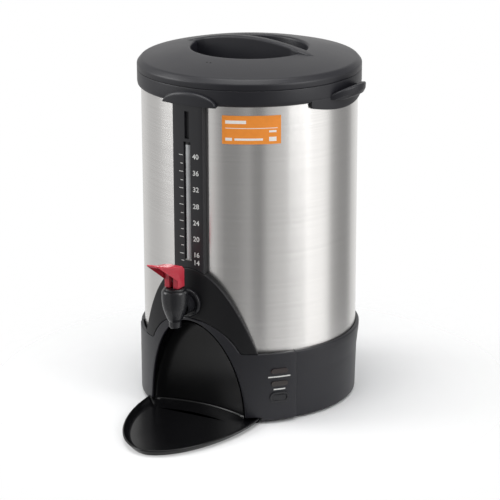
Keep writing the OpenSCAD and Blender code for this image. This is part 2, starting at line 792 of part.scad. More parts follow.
module warming_heater() color([0.45, 0.4, 0.38]) rotate([0, 0, outlet_angle])
    heater_tube(warming_r, warming_tube_r, warming_open, warming_drop);

module heater_bracket() color([0.6, 0.6, 0.62]) difference() {
    union() {
        translate([-warming_r - warming_tube_r, -bracket_w / 2, bracket_z])
            cube([2 * (warming_r + warming_tube_r), bracket_w, bracket_t]);
        for (side = [-1, 1]) translate([side * warming_r - warming_tube_r, -bracket_w / 2, bracket_z])
            cube([2 * warming_tube_r, bracket_w, 2 * (main_tube_r - warming_tube_r) + bracket_t]);
    }
    cylinder(r = bolt_r + run_gap, h = 2 * tank_floor_z, $fn = 48);
}

module heater_nut() color([0.7, 0.7, 0.7]) translate([0, 0, bracket_z - 5]) difference() {
    hex_nut(bolt_nut, 5);
    translate([0, 0, -1]) cylinder(r = bolt_r + run_gap, h = 7, $fn = 48);
}

module centre_bolt() color([0.7, 0.7, 0.7]) translate([0, 0, 1])
    cylinder(r = bolt_r, h = well_z - 1, $fn = 48);

module centre_nut() color([0.7, 0.7, 0.7]) translate([0, 0, plate_z - 3.6]) difference() {
    hex_nut(bolt_nut, 3.6);
    translate([0, 0, -1]) cylinder(r = bolt_r + run_gap, h = 6, $fn = 48);
}

module thermostat() color([0.2, 0.18, 0.16]) translate([-fuse_r, 0, 0]) {
    translate([0, 0, tank_floor_z - 7]) cylinder(r = 8, h = 7, $fn = 64);
    translate([-10, -3, tank_floor_z - 3]) cube([20, 6, 1]);
    for (side = [-1, 1]) translate([-1, side * 4 - 0.4, tank_floor_z - 13]) cube([2, 0.8, 7]);
}

module thermal_fuse() color([0.85, 0.85, 0.8]) translate([fuse_r, 0, tank_floor_z - 3]) {
    rotate([90, 0, 0]) translate([0, 0, -11]) cylinder(r = 3, h = 22, $fn = 48);
    rotate([90, 0, 0]) translate([0, 0, -15]) cylinder(r = 0.8, h = 30, $fn = 24);
}

module terminal_block() color([0.88, 0.86, 0.78])
    translate([block_x - 9, block_y - 20, plate_z + plate_t]) difference() {
    cube([18, 40, 14]);
    for (i = [0:2]) translate([9, 8 + 12 * i, 6]) cylinder(r = 2, h = 10, $fn = 32);
}

module power_inlet() color([0.06, 0.06, 0.06]) difference() {
    union() {
        translate([-inlet_w / 2, pad_y, inlet_z - inlet_h / 2]) cube([inlet_w, 2, inlet_h]);
        translate([-inlet_hole_w / 2 + seat_gap, pad_y - 22, inlet_z - inlet_hole_h / 2 + seat_gap])
            cube([inlet_hole_w - 2 * seat_gap, 23, inlet_hole_h - 2 * seat_gap]);
    }
    translate([-12.1, pad_y - 13, inlet_z - 8.2]) cube([24.2, 20, 16.4]);
    for (side = [-1, 1]) translate([side * inlet_screw_x, pad_y + 5, inlet_z])
        rotate([90, 0, 0]) cylinder(r = inlet_screw_r + run_gap, h = 9, $fn = 32);
    for (pin = inlet_pin_places)
        translate([pin[0] - 1 - run_gap, pad_y - 30, inlet_z + pin[1] - 2 - run_gap])
        cube([2 + 2 * run_gap, 30, 4 + 2 * run_gap]);
}

module inlet_pins() color([0.8, 0.7, 0.4]) for (pin = inlet_pin_places)
    translate([pin[0] - 1, pad_y - 28, inlet_z + pin[1] - 2]) cube([2, 26, 4]);

module inlet_screws() color([0.7, 0.7, 0.7]) for (side = [-1, 1])
    translate([side * inlet_screw_x, pad_y + 2, inlet_z])
    rotate([90, 0, 0]) {
        translate([0, 0, -1.6]) cylinder(r = 2.8, h = 1.6, $fn = 48);
        cylinder(r = inlet_screw_r, h = 8, $fn = 32);
    }

// A smooth curve through the points a and b, with their neighbours p and q
function spline(p, a, b, q, t) =
    0.5 * (2 * a + (b - p) * t + (2 * p - 5 * a + 4 * b - q) * t * t + (3 * a - p - 3 * b + q) * t * t * t);

function wire_path(points) =
    let (last = len(points) - 1)
    concat(
        [for (i = [0:last - 1]) for (k = [0:wire_steps - 1])
            spline(
                points[max(i - 1, 0)], points[i], points[i + 1], points[min(i + 2, last)],
                k / wire_steps
            )],
        [points[last]]
    );

function wire_ring(path, i) =
    let (
        last = len(path) - 1,
        way = path[min(i + 1, last)] - path[max(i - 1, 0)],
        u = cross(way, wire_side) / norm(cross(way, wire_side)),
        v = cross(way, u) / norm(way)
    )
    [for (j = [0:wire_sides - 1]) let (a = 360 * j / wire_sides)
        path[i] + wire_r * (cos(a) * u + sin(a) * v)];

// A round wire through hand-placed points
module wire(points) {
    path = wire_path(points);
    last = len(path) - 1;
    n = wire_sides;
    polyhedron(
        points = [for (i = [0:last]) for (p = wire_ring(path, i)) p],
        faces = concat(
            [for (i = [0:last - 1]) for (j = [0:n - 1]) let (k = (j + 1) % n)
                [n * i + j, n * i + k, n * i + n + k]],
            [for (i = [0:last - 1]) for (j = [0:n - 1]) let (k = (j + 1) % n)
                [n * i + j, n * i + n + k, n * i + n + j]],
            [for (j = [1:n - 2]) [0, j + 1, j]],
            [for (j = [1:n - 2]) [n * last, n * last + j, n * last + j + 1]]
        )
    );
}

module wiring() color([0.5, 0.25, 0.2]) {
    inlet_back = pad_y - 28.2;
    heater_foot = heater_z - main_tube_r - 0.1 - main_drop - pin_drop - 0.5;
    wire([[-7, inlet_back, inlet_z - 1], [-7, inlet_back - 8, inlet_z - 1], [12, 56, block_top + 10],
        [block_x - 4, block_y + 4, block_top + 9], [block_x, block_y, block_top + 0.2]]);
    wire([[7, inlet_back, inlet_z - 1], [8, inlet_back - 6, inlet_z - 1], [30, 64, block_top + 6],
        [block_x - 2, block_y + 18, block_top + 8], [block_x, block_y + 12, block_top + 0.2]]);
    wire([[block_x, block_y - 12, block_top + 0.2], [block_x, block_y - 14, block_top + 9], [58, -14, 34],
        [59, -34, switch_z + 2], [62, -45, switch_z + 1]]);
    wire([[-main_heater_r * sin(main_open), main_heater_r * cos(main_open), heater_foot],
        [-12, 37, heater_foot - 12], [20, 32, block_top + 24],
        [block_x - 6, block_y - 2, block_top + 10], [block_x - 5, block_y, block_top + 0.2]]);
}

// ---------- controls ----------

// An indicator lens: a shallow oval cap on the panel with a body through it
module panel_light(z) {
    at_panel(z) {
        oval_bar(light_w, light_h, 0.1, 1.1);
        oval_bar(light_w - 2, light_h - 2, -7, 0.2);
    }
}

module power_light() color([0.55, 0.1, 0.08]) panel_light(light_z[0]);

module ready_light() color([0.5, 0.3, 0.08]) panel_light(light_z[1]);

module pilot_lamps() color([0.9, 0.85, 0.8]) for (z = light_z) at_panel(z) {
    oval_bar(11, 4, -19, -7.2);
    for (side = [-1, 1]) translate([side * 2, 19, 0]) rotate([-90, 0, 0])
        cylinder(r = 0.4, h = 5, $fn = 24);
}

module switch_body() color([0.07, 0.07, 0.07]) at_panel(switch_z) difference() {
    union() {
        oval_bar(switch_w + 3, switch_h + 3, 0.1, 1);
        oval_bar(switch_w, switch_h, -16, 0.2);
        for (side = [-1, 1]) translate([side * 4 - 1, 15, -2]) cube([2, 8, 4]);
    }
    oval_bar(switch_w - 1.4, switch_h - 1.4, -10, 5);
    translate([0, switch_pivot, -switch_h]) cylinder(r = 1 + run_gap, h = 2 * switch_h, $fn = 32);
}

module power_switch() color([0.12, 0.12, 0.12]) at_panel(switch_z) translate([0, switch_pivot, 0])
    rotate([0, 0, -switch_tilt]) {
        translate([0, -switch_pivot, 0]) oval_bar(switch_w - 3, switch_h - 2.4, -6, 1.4);
        translate([0, 0, -switch_h / 2 + 0.1]) cylinder(r = 1, h = switch_h - 0.2, $fn = 32);
    }

// ---------- percolator ----------

module pump_tube() color([0.78, 0.78, 0.8]) difference() {
    union() {
        translate([0, 0, foot_z + 6]) cylinder(r = pump_r, h = pump_top_z - foot_z - 6, $fn = 64);
        translate([0, 0, basket_z - 3.1]) cylinder(r = stop_r, h = 3, $fn = 64);
    }
    translate([0, 0, foot_z]) cylinder(r = pump_r - 1, h = pump_top_z, $fn = 64);
}

module pump_foot() color([0.75, 0.75, 0.77]) translate([0, 0, foot_z]) rotate_extrude($fn = 96) polygon([
    [well_r - 3, 0], [well_r - 2, 0], [well_r - 2, 3], [pump_r + 2, 14], [pump_r + 2, 20],
    [pump_r + run_gap, 20], [pump_r + run_gap, 12.5], [well_r - 3, 2.2]
]);

module pump_valve() color([0.8, 0.8, 0.82]) translate([0, 0, foot_z + 0.1])
    cylinder(r = well_r - 8, h = 1, $fn = 64);

module coffee_basket() color([0.75, 0.75, 0.77]) difference() {
    rotate_extrude($fn = 120) polygon([
        [pump_r + sleeve_gap, basket_z], [basket_d / 2, basket_z], [basket_d / 2, basket_z + basket_h],
        [basket_d / 2 - basket_t, basket_z + basket_h], [basket_d / 2 - basket_t, basket_z + basket_t],
        [pump_r + sleeve_gap, basket_z + basket_t]
    ]);
    for (ring = [1:3]) for (i = [0:8 * ring - 1]) rotate([0, 0, i * 45 / ring])
        translate([basket_d * (0.05 + 0.13 * ring), 0, basket_z - 1]) cylinder(r = 1.5, h = 3, $fn = 16);
}

module basket_sleeve() color([0.75, 0.75, 0.77])
    tube_ring(pump_r + sleeve_gap + basket_t, pump_r + sleeve_gap, basket_z + basket_t,
        basket_z + basket_h - 2);

module basket_cover() color([0.75, 0.75, 0.77]) difference() {
    rotate_extrude($fn = 120) polygon([
        [pump_r + sleeve_gap, basket_z + basket_h + 0.1], [basket_d / 2 + 1.2, basket_z + basket_h + 0.1],
        [basket_d / 2 + 1.2, basket_z + basket_h + 4], [basket_d / 2 + 0.4, basket_z + basket_h + 4],
        [basket_d / 2 + 0.4, basket_z + basket_h + 1.1], [pump_r + sleeve_gap, basket_z + basket_h + 1.1]
    ]);
    for (ring = [1:3]) for (i = [0:8 * ring - 1]) rotate([0, 0, i * 45 / ring])
        translate([basket_d * (0.05 + 0.13 * ring), 0, basket_z + basket_h - 1])
            cylinder(r = 1.2, h = 4, $fn = 16);
}

// ---------- lid ----------

function dome_height(r) = dome_z - dome_fall * pow(r / (tank_r - 2.5), 2);

module lid_dome(inset, bottom_z) {
    rim_r = collar_r - inset;
    shoulder_r = tank_r - 2.5 - inset / 2;
    rotate_extrude($fn = 180) polygon(concat(
        [[0, bottom_z], [rim_r, bottom_z], [rim_r, lid_z + 5.2 - inset], [rim_r - 0.5, lid_z + 7.2 - inset],
            [rim_r - 2.4, lid_z + 9.3 - inset]],
        [for (i = [0:10]) let (r = shoulder_r * (1 - i / 10)) [r, dome_height(r) - inset]]
    ));
}

module oval_prism(half_w, half_d, z0, z1) {
    translate([0, 0, z0]) linear_extrude(height = z1 - z0)
        polygon([for (i = [0:47]) [half_w * cos(i * 7.5), half_d * sin(i * 7.5)]]);
}

// Crown line of the grip bar, highest at the middle
function crown_height(x) =
    crown_z - (crown_z - dome_height(grip_half_l) - 0.3) * pow(x / grip_half_l, 2);

// Right half of the bar's underside, from its tip on the dome down into the hollow
function grip_under() = [
    [grip_half_l, dome_height(grip_half_l) - 1],
    [hollow_half_w + 1, dome_height(hollow_half_w) - lid_wall],
    [hollow_half_w + 1, hollow_z - 1]
];

module grip_bar() {
    translate([0, grip_w / 2, 0]) rotate([90, 0, 0]) linear_extrude(height = grip_w) polygon(concat(
        mirrored(grip_under()),
        [for (i = [0:16]) let (x = grip_half_l * (i / 8 - 1)) [x, crown_height(x)]]
    ));
}

module lid() color([0.16, 0.16, 0.17]) difference() {
    union() {
        difference() {
            lid_dome(0, lid_z);
            lid_dome(lid_wall, lid_z - 1);
        }
        tube_ring(plug_r, plug_r - 2.4, collar_z, dome_height(plug_r) - 1);
        intersection() {
            oval_prism(hollow_half_w + lid_wall, hollow_half_d + lid_wall, hollow_z - lid_wall, dome_z + 1);
            lid_dome(0, hollow_z - lid_wall - 1);
        }
        grip_bar();
    }
    difference() {
        oval_prism(hollow_half_w, hollow_half_d, hollow_z, dome_z + 20);
        grip_bar();
    }
    for (side = [-1, 1]) translate([side * steam_x, -steam_y, dome_z - 20])
        cylinder(r = steam_r, h = 30, $fn = 24);
    tube_ring(plug_r + 1, plug_r - 1, collar_z + 6, collar_z + 10.2);
}

module lid_seal() color([0.5, 0.5, 0.48])
    tube_ring(mouth_r - seat_gap, plug_r - 1 + run_gap, collar_z + 6.1, collar_z + 10.1);

// ---------- drip tray ----------

// The tray's plan: a blunt oval in front with straight shoulders behind it
function tray_plan(inset, n) =
    let (half = tray_half_w - inset, depth = tray_reach - tray_mid_y - inset)
    concat(
        [for (i = [0:n]) let (a = 180 * i / n, c = cos(a), s = sin(a))
            [half * sign(c) * pow(abs(c), 2 / tray_power), -depth * pow(s, 2 / tray_power)]],
        [[-half, tray_shoulder - inset], [half, tray_shoulder - inset]]
    );

module tray_slab(inset, z, h) {
    translate([tray_shift, -tray_mid_y, z]) rotate([0, 0, tray_turn])
        linear_extrude(height = h) polygon(tray_plan(inset, 40));
}

// The tray's solid, drawn in by inset: sides that slope out to an upright lip,
// and a neck that follows the alcove's back wall
module tray_solid(inset, z0, z1) {
    intersection() {
        union() {
            hull() {
                tray_slab(inset + tray_slope, z0, 0.1);
                tray_slab(inset, tray_h - tray_lip, z1 - tray_h + tray_lip);
            }
            translate([-tray_neck + inset, -tray_mid_y - 5, z0])
                cube([2 * (tray_neck - inset), 40, z1 - z0]);
        }
        union() {
            translate([0, -alcove_back_y - alcove_back_r, z0 - 1])
                cylinder(r = alcove_back_r - seat_gap - inset, h = z1 - z0 + 2, $fn = 180);
            beside(tray_neck + tray_gap + inset);
        }
    }
}

module drip_tray() color([0.05, 0.05, 0.05]) difference() {
    tray_solid(0, 0, tray_h);
    tray_solid(tray_wall, tray_wall, tray_h + 5);
}

base_shell();
alcove_liner();
front_cowl();
bottom_plate();
foot_ring();
base_screws();
tank();
tank_floor();
collar();
handle_screws();
gauge_strip();
sight_tube();
gauge_plug();
gauge_elbow();
elbow_nut();
tap_flange();
tap_body();
tap_gasket();
tap_nut();
tap_bonnet();
tap_stem();
seat_cup();
tap_spring();
tap_lever();
lever_pin();
heater_plate();
main_heater();
warming_heater();
heater_bracket();
heater_nut();
centre_bolt();
centre_nut();
thermostat();
thermal_fuse();
terminal_block();
power_inlet();
inlet_pins();
inlet_screws();
wiring();
power_light();
ready_light();
pilot_lamps();
switch_body();
power_switch();
label_plate();
pump_tube();
pump_foot();
pump_valve();
coffee_basket();
basket_sleeve();
basket_cover();
lid();
lid_seal();
drip_tray();
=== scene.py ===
import bpy
import bmesh
from math import sin, cos, pi, radians, degrees, sqrt, atan2, asin, acos
from mathutils import Vector, Matrix


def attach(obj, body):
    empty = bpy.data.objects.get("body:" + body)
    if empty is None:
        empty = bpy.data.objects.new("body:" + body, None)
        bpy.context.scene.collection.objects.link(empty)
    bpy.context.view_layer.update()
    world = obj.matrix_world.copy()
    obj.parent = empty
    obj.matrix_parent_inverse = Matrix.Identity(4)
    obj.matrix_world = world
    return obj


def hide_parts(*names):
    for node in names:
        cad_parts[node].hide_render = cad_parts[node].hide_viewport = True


# Coffee urn. Lengths below are in millimetres and become metres when a mesh
# is made. Angles are in degrees, counted from the front (-Y) towards +X.

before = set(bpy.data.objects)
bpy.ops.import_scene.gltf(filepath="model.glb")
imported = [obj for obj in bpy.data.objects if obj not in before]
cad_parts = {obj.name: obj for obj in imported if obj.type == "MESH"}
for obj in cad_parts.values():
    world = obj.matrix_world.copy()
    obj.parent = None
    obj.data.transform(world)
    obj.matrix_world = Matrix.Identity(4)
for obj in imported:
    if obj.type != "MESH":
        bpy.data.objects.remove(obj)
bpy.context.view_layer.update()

MM = 0.001
SHARP = 32

# the tank, and the drum whose front the base, cowl and gauge strip share
TANK_R = 107.5
STEEL_R = 107.8
DRUM_Y = -8.0
DRUM_R = 107.5


# ---------- meshes ----------

def make(name, verts, faces, mat, body="urn", sharp=SHARP, swap=()):
    """A mesh piece from vertices in millimetres, riding on a body."""
    data = bpy.data.meshes.new(name)
    data.from_pydata([(x * MM, y * MM, z * MM) for x, y, z in verts], [], faces)
    bm = bmesh.new()
    bm.from_mesh(data)
    bmesh.ops.remove_doubles(bm, verts=bm.verts, dist=0.00001)
    bmesh.ops.dissolve_degenerate(bm, edges=bm.edges, dist=0.000005)
    bmesh.ops.recalc_face_normals(bm, faces=bm.faces)
    bm.to_mesh(data)
    bm.free()
    for poly in data.polygons:
        poly.use_smooth = True
    data.set_sharp_from_angle(angle=radians(sharp))
    data.materials.append(mat)
    obj = bpy.data.objects.new(name, data)
    bpy.context.scene.collection.objects.link(obj)
    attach(obj, body)
    if swap:
        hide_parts(*swap)
    return obj


def loft(rows, ring=False, loop=False):
    """Quads between rows of equal length: ring closes each row, loop joins last to first."""
    verts = [p for row in rows for p in row]
    n = len(rows[0])
    faces = []
    for i in range(len(rows) if loop else len(rows) - 1):
        k = (i + 1) % len(rows)
        for j in range(n if ring else n - 1):
            m = (j + 1) % n
            faces.append((i * n + j, i * n + m, k * n + m, k * n + j))
    return verts, faces


def merge(*parts):
    """Several parts as one list of vertices and one of faces."""
    verts, faces = [], []
    for v, f in parts:
        start = len(verts)
        verts += v
        faces += [tuple(i + start for i in face) for face in f]
    return verts, faces


def fillet(points, closed=False, steps=5):
    """Rounds the corners of a flat outline. Each point is (x, y) or (x, y, radius)."""
    out = []
    n = len(points)
    for i, p in enumerate(points):
        r = p[2] if len(p) > 2 else 0
        if r == 0 or (not closed and i in (0, n - 1)):
            out.append((p[0], p[1]))
            continue
        c = Vector(p[:2])
        a = Vector(points[i - 1][:2]) - c
        b = Vector(points[(i + 1) % n][:2]) - c
        la, lb = a.length, b.length
        a.normalize()
        b.normalize()
        half = acos(max(-1, min(1, a.dot(b)))) / 2
        if half > pi / 2 - 0.01:
            out.append((p[0], p[1]))
            continue
        cut_back = min(r / max(0.01, abs(sin(half) / cos(half))), la * 0.49, lb * 0.49)
        r = cut_back * sin(half) / cos(half)
        mid = c + (a + b).normalized() * (r / sin(half))
        s, e = c + a * cut_back - mid, c + b * cut_back - mid
        turn = atan2(s.x * e.y - s.y * e.x, s.dot(e))
        for k in range(steps + 1):
            t = turn * k / steps
            out.append((mid.x + s.x * cos(t) - s.y * sin(t), mid.y + s.x * sin(t) + s.y * cos(t)))
    return out


def polar(r, a):
    """A point at radius r and bearing a."""
    return r * sin(radians(a)), -r * cos(radians(a))


def lathe(profile, n=160, a0=0.0, a1=360.0, closed=False, at=(0, 0)):
    """Turns an (r, z) outline round the Z axis."""
    full = abs(a1 - a0) >= 360
    rows = []
    for i in range(n if full else n + 1):
        a = a0 + (a1 - a0) * i / n
        rows.append([(at[0] + polar(r, a)[0], at[1] + polar(r, a)[1], z) for r, z in profile])
    return loft(rows, ring=closed, loop=full)


def along_y(profile, z, n=64):
    """Turns an (r, y) outline round an axis along Y at height z."""
    rows = []
    for i in range(n):
        a = 2 * pi * i / n
        rows.append([(r * cos(a), y, z + r * sin(a)) for r, y in profile])
    return loft(rows, loop=True)


def arc(cx, cy, r, a0, a1, n):
    """Points of a flat arc, its angles counted from +X."""
    return [(cx + r * cos(radians(a0 + (a1 - a0) * i / n)), cy + r * sin(radians(a0 + (a1 - a0) * i / n)))
            for i in range(n + 1)]


def bezier(p0, p1, p2, p3, n):
    """Points of a cubic curve."""
    out = []
    for i in range(n + 1):
        t, u = i / n, 1 - i / n
        out.append(tuple(u ** 3 * a + 3 * u * u * t * b + 3 * u * t * t * c + t ** 3 * d
                         for a, b, c, d in zip(p0, p1, p2, p3)))
    return out


def resample(points, shares):
    """Points at the given shares of an outline's length."""
    acc = [0.0]
    for p, q in zip(points, points[1:]):
        acc.append(acc[-1] + sqrt((q[0] - p[0]) ** 2 + (q[1] - p[1]) ** 2))
    out, k = [], 0
    for t in shares:
        d = t * acc[-1]
        while k < len(acc) - 2 and acc[k + 1] < d:
            k += 1
        f = (d - acc[k]) / max(1e-9, acc[k + 1] - acc[k])
        p, q = points[k], points[k + 1]
        out.append((p[0] + (q[0] - p[0]) * f, p[1] + (q[1] - p[1]) * f))
    return out


def evenly(n):
    """Shares from 0 to 1 in n equal steps."""
    return [i / n for i in range(n + 1)]


def both_sides(side):
    """An outline given from the middle to the right, mirrored to run from left to right."""
    return [(-x, z) for x, z in reversed(side[1:])] + side


def matched(side_a, side_b, n):
    """Two outlines cut at the same shares of their lengths, each mirrored."""
    return both_sides(resample(side_a, evenly(n))), both_sides(resample(side_b, evenly(n)))


def on_drum(x, z, depth, r=DRUM_R, y=DRUM_Y):
    """A point of the front surface, or depth under it, along the surface's own normal."""
    a = asin(max(-1, min(1, x / r)))
    return ((r - depth) * sin(a), y - (r - depth) * cos(a), z)


def depth_to(target, x, r=DRUM_R, y=DRUM_Y):
    """How deep under the drum the cylinder of radius target round the Z axis lies."""
    a = asin(max(-1, min(1, x / r)))
    return r - (y * cos(a) + sqrt(y * y * cos(a) ** 2 + target * target - y * y))


def drum_plate(inner, outer, edge_in, edge_out, back, n=10, sink=None, r=DRUM_R, y=DRUM_Y):
    """A closed plate on the drum between two outlines, with rounded edges.
    back(x) is its thickness; sink(x, z) lowers its front."""
    rows = []

    def row(share, off, depth):
        line = []
        for p, q in zip(inner, outer):
            w = max(1e-6, sqrt((q[0] - p[0]) ** 2 + (q[1] - p[1]) ** 2))
            d = min(abs(off), w * 0.48) * (1 if off >= 0 else -1)
            s = share + d / w
            x, z = p[0] + (q[0] - p[0]) * s, p[1] + (q[1] - p[1]) * s
            deep = depth(x) if callable(depth) else depth
            if sink:
                deep += sink(x, z)
            line.append(on_drum(x, z, deep, r, y))
        return line

    rows.append(row(0, 0, back))
    for k in range(5):
        a = radians(90 * k / 4)
        rows.append(row(0, edge_in * (1 - cos(a)), edge_in * (1 - sin(a))))
    for k in range(1, n):
        t = k / n
        rows.append(row(t, edge_in * (1 - t) - edge_out * t, 0))
    for k in range(5):
        a = radians(90 - 90 * k / 4)
        rows.append(row(1, -edge_out * (1 - cos(a)), edge_out * (1 - sin(a))))
    rows.append(row(1, 0, back))
    verts, faces = loft(rows, ring=False, loop=True)
    m, c = len(rows), len(inner)
    faces.append(tuple(i * c for i in range(m)))
    faces.append(tuple(i * c + c - 1 for i in reversed(range(m))))
    return verts, faces


def box(x0, x1, y0, y1, z0, z1):
    """A closed box between two corners."""
    v = [(x, y, z) for x in (x0, x1) for y in (y0, y1) for z in (z0, z1)]
    return v, [(0, 1, 3, 2), (4, 6, 7, 5), (0, 4, 5, 1), (2, 3, 7, 6), (0, 2, 6, 4), (1, 5, 7, 3)]


def moved(part, turn=0.0):
    """Turns a part round Z by degrees towards +X from the front."""
    a = radians(turn)
    return [(x * cos(a) - y * sin(a), x * sin(a) + y * cos(a), z) for x, y, z in part[0]], part[1]


def area_sign(points):
    """1 for an outline that runs counter-clockwise, and -1 for one that runs clockwise."""
    n = len(points)
    area = sum(points[i][0] * points[(i + 1) % n][1] - points[(i + 1) % n][0] * points[i][1]
               for i in range(n))
    return 1 if area > 0 else -1


def cut(obj, *cutters):
    """Cuts closed parts out of a closed piece."""
    for verts, faces in cutters:
        data = bpy.data.meshes.new("cutter")
        data.from_pydata([(x * MM, y * MM, z * MM) for x, y, z in verts], [], faces)
        tool = bpy.data.objects.new("cutter", data)
        bpy.context.scene.collection.objects.link(tool)
        mod = obj.modifiers.new("cut", "BOOLEAN")
        mod.operation = "DIFFERENCE"
        mod.solver = "EXACT"
        mod.object = tool
        bpy.context.view_layer.update()
        done = bpy.data.meshes.new_from_object(obj.evaluated_get(bpy.context.evaluated_depsgraph_get()))
        obj.modifiers.remove(mod)
        obj.data = done
        bpy.data.objects.remove(tool)
    for poly in obj.data.polygons:
        poly.use_smooth = True
    obj.data.set_sharp_from_angle(angle=radians(SHARP))


# ---------- materials ----------

NOISE_DETAIL, GRAIN_DETAIL = 4.0, 2.0
RAMP_FROM, RAMP_TO = 0.3, 0.7
GRAIN_DEPTH = 0.0002
COAT_ROUGH = 0.08
BRUSH_TURN = 0.25


def material(name, color, rough, metal=0.0, vary=0.12, scale=30.0, grain=0.0, grain_scale=1500.0,
             rough_vary=0.05, coat=0.0, specular=0.5, stretch=(1, 1, 1), trans=0.0, aniso=0.0, ior=1.5):
    """A Principled material whose colour, roughness and surface come from noise."""
    mat = bpy.data.materials.new(name)
    mat.use_nodes = True
    tree = mat.node_tree
    nodes, links = tree.nodes, tree.links
    bsdf = nodes["Principled BSDF"]
    coords = nodes.new("ShaderNodeTexCoord")
    mapping = nodes.new("ShaderNodeMapping")
    mapping.inputs["Scale"].default_value = stretch
    links.new(coords.outputs["Object"], mapping.inputs["Vector"])
    noise = nodes.new("ShaderNodeTexNoise")
    noise.inputs["Scale"].default_value = scale
    noise.inputs["Detail"].default_value = NOISE_DETAIL
    links.new(mapping.outputs["Vector"], noise.inputs["Vector"])
    ramp = nodes.new("ShaderNodeValToRGB")
    dark = [c * (1 - vary) for c in color]
    light = [min(1.0, c * (1 + vary)) for c in color]
    ramp.color_ramp.elements[0].position = RAMP_FROM
    ramp.color_ramp.elements[1].position = RAMP_TO
    ramp.color_ramp.elements[0].color = (*dark, 1)
    ramp.color_ramp.elements[1].color = (*light, 1)
    links.new(noise.outputs["Fac"], ramp.inputs["Fac"])
    links.new(ramp.outputs["Color"], bsdf.inputs["Base Color"])
    span = nodes.new("ShaderNodeMapRange")
    span.inputs["To Min"].default_value = max(0.0, rough - rough_vary)
    span.inputs["To Max"].default_value = min(1.0, rough + rough_vary)
    links.new(noise.outputs["Fac"], span.inputs["Value"])
    links.new(span.outputs["Result"], bsdf.inputs["Roughness"])
    if grain:
        fine = nodes.new("ShaderNodeTexNoise")
        fine.inputs["Scale"].default_value = grain_scale
        fine.inputs["Detail"].default_value = GRAIN_DETAIL
        links.new(mapping.outputs["Vector"], fine.inputs["Vector"])
        bump = nodes.new("ShaderNodeBump")
        bump.inputs["Strength"].default_value = grain
        bump.inputs["Distance"].default_value = GRAIN_DEPTH
        links.new(fine.outputs["Fac"], bump.inputs["Height"])
        links.new(bump.outputs["Normal"], bsdf.inputs["Normal"])
    bsdf.inputs["Metallic"].default_value = metal
    bsdf.inputs["Specular IOR Level"].default_value = specular
    bsdf.inputs["Coat Weight"].default_value = coat
    bsdf.inputs["Coat Roughness"].default_value = COAT_ROUGH
    bsdf.inputs["IOR"].default_value = ior
    bsdf.inputs["Transmission Weight"].default_value = trans
    bsdf.inputs["Anisotropic"].default_value = aniso
    if aniso:
        bsdf.inputs["Anisotropic Rotation"].default_value = BRUSH_TURN
        tangent = nodes.new("ShaderNodeTangent")
        tangent.direction_type = "RADIAL"
        tangent.axis = "Z"
        links.new(tangent.outputs["Tangent"], bsdf.inputs["Tangent"])
    return mat


charcoal = material("charcoal", (0.0095, 0.0095, 0.013), 0.42, vary=0.08, grain=0.10, grain_scale=2600,
                    specular=0.4)
cowl_black = material("cowl_black", (0.006, 0.006, 0.007), 0.46, vary=0.08, grain=0.10, grain_scale=2600,
                      specular=0.25)
gloss_black = material("gloss_black", (0.003, 0.003, 0.0035), 0.3, vary=0.15, rough_vary=0.03, specular=0.3)
dish_black = material("dish_black", (0.003, 0.003, 0.0035), 0.24, vary=0.15, rough_vary=0.03, specular=0.4,
                      ior=1.35)
tap_black = material("tap_black", (0.012, 0.012, 0.014), 0.26, vary=0.1, rough_vary=0.03, grain=0.04,
                     specular=0.4)
# painted shade: a near-black material without gloss for the faces deep in the lid's finger hollow, darker
# than the lid's own charcoal
painted_hollow_shade = material("painted_hollow_shade", (0.003, 0.003, 0.0035), 0.55, vary=0.15, specular=0.0, ior=1.02)
# painted shade: a flat near-black for the lid's steam holes, which are drawn as dark caps, not cut as holes
painted_hole_shade = material("painted_hole_shade", (0.004, 0.004, 0.004), 0.8, vary=0.2)
strip_grey = material("strip_grey", (0.018, 0.018, 0.02), 0.38, vary=0.08, grain=0.06, specular=0.35)
red = material("lever_red", (0.50, 0.028, 0.05), 0.34, vary=0.06, grain=0.05)
steel = material("brushed_steel", (0.70, 0.69, 0.68), 0.24, metal=1.0, vary=0.04, scale=1800,
                 stretch=(0.004, 0.004, 1), rough_vary=0.03, grain=0.02, aniso=0.85)
sheet = material("sheet_steel", (0.5, 0.5, 0.52), 0.4, metal=1.0, vary=0.1, scale=60)
zinc = material("zinc", (0.62, 0.62, 0.63), 0.28, metal=1.0, vary=0.08, scale=200)
brass = material("brass", (0.62, 0.42, 0.16), 0.3, metal=1.0, vary=0.1, scale=120)
aluminium = material("aluminium", (0.72, 0.72, 0.74), 0.35, metal=1.0, vary=0.06, scale=150, grain=0.05)
heater = material("heater_sheath", (0.2, 0.16, 0.14), 0.45, metal=1.0, vary=0.3, scale=80)
rubber = material("rubber", (0.015, 0.015, 0.015), 0.7, vary=0.2, grain=0.2)
silicone = material("silicone", (0.42, 0.42, 0.40), 0.5, vary=0.08, grain=0.05)
red_silicone = material("red_silicone", (0.40, 0.06, 0.04), 0.5, vary=0.1)
tube_clear = material("sight_tube", (0.42, 0.43, 0.43), 0.2, vary=0.1, scale=60, coat=0.4)
mark_white = material("mark_white", (0.62, 0.62, 0.60), 0.5, vary=0.05, scale=300)
label_orange = material("label_orange", (0.93, 0.30, 0.035), 0.42, vary=0.03, scale=200, grain=0.03)
label_white = material("label_white", (0.93, 0.90, 0.85), 0.45, vary=0.04, scale=300)
white_plastic = material("white_plastic", (0.72, 0.70, 0.66), 0.4, vary=0.06, grain=0.05)
brown_plastic = material("phenolic", (0.05, 0.035, 0.03), 0.4, vary=0.2)
wire_red = material("wire_cover", (0.28, 0.09, 0.06), 0.5, vary=0.15)
lens_red = material("lens_red", (0.012, 0.004, 0.004), 0.14, vary=0.2, coat=0.3)
lens_amber = material("lens_amber", (0.012, 0.006, 0.004), 0.14, vary=0.2, coat=0.3)
lamp = material("neon_lamp", (0.7, 0.62, 0.5), 0.1, vary=0.1, trans=0.5)

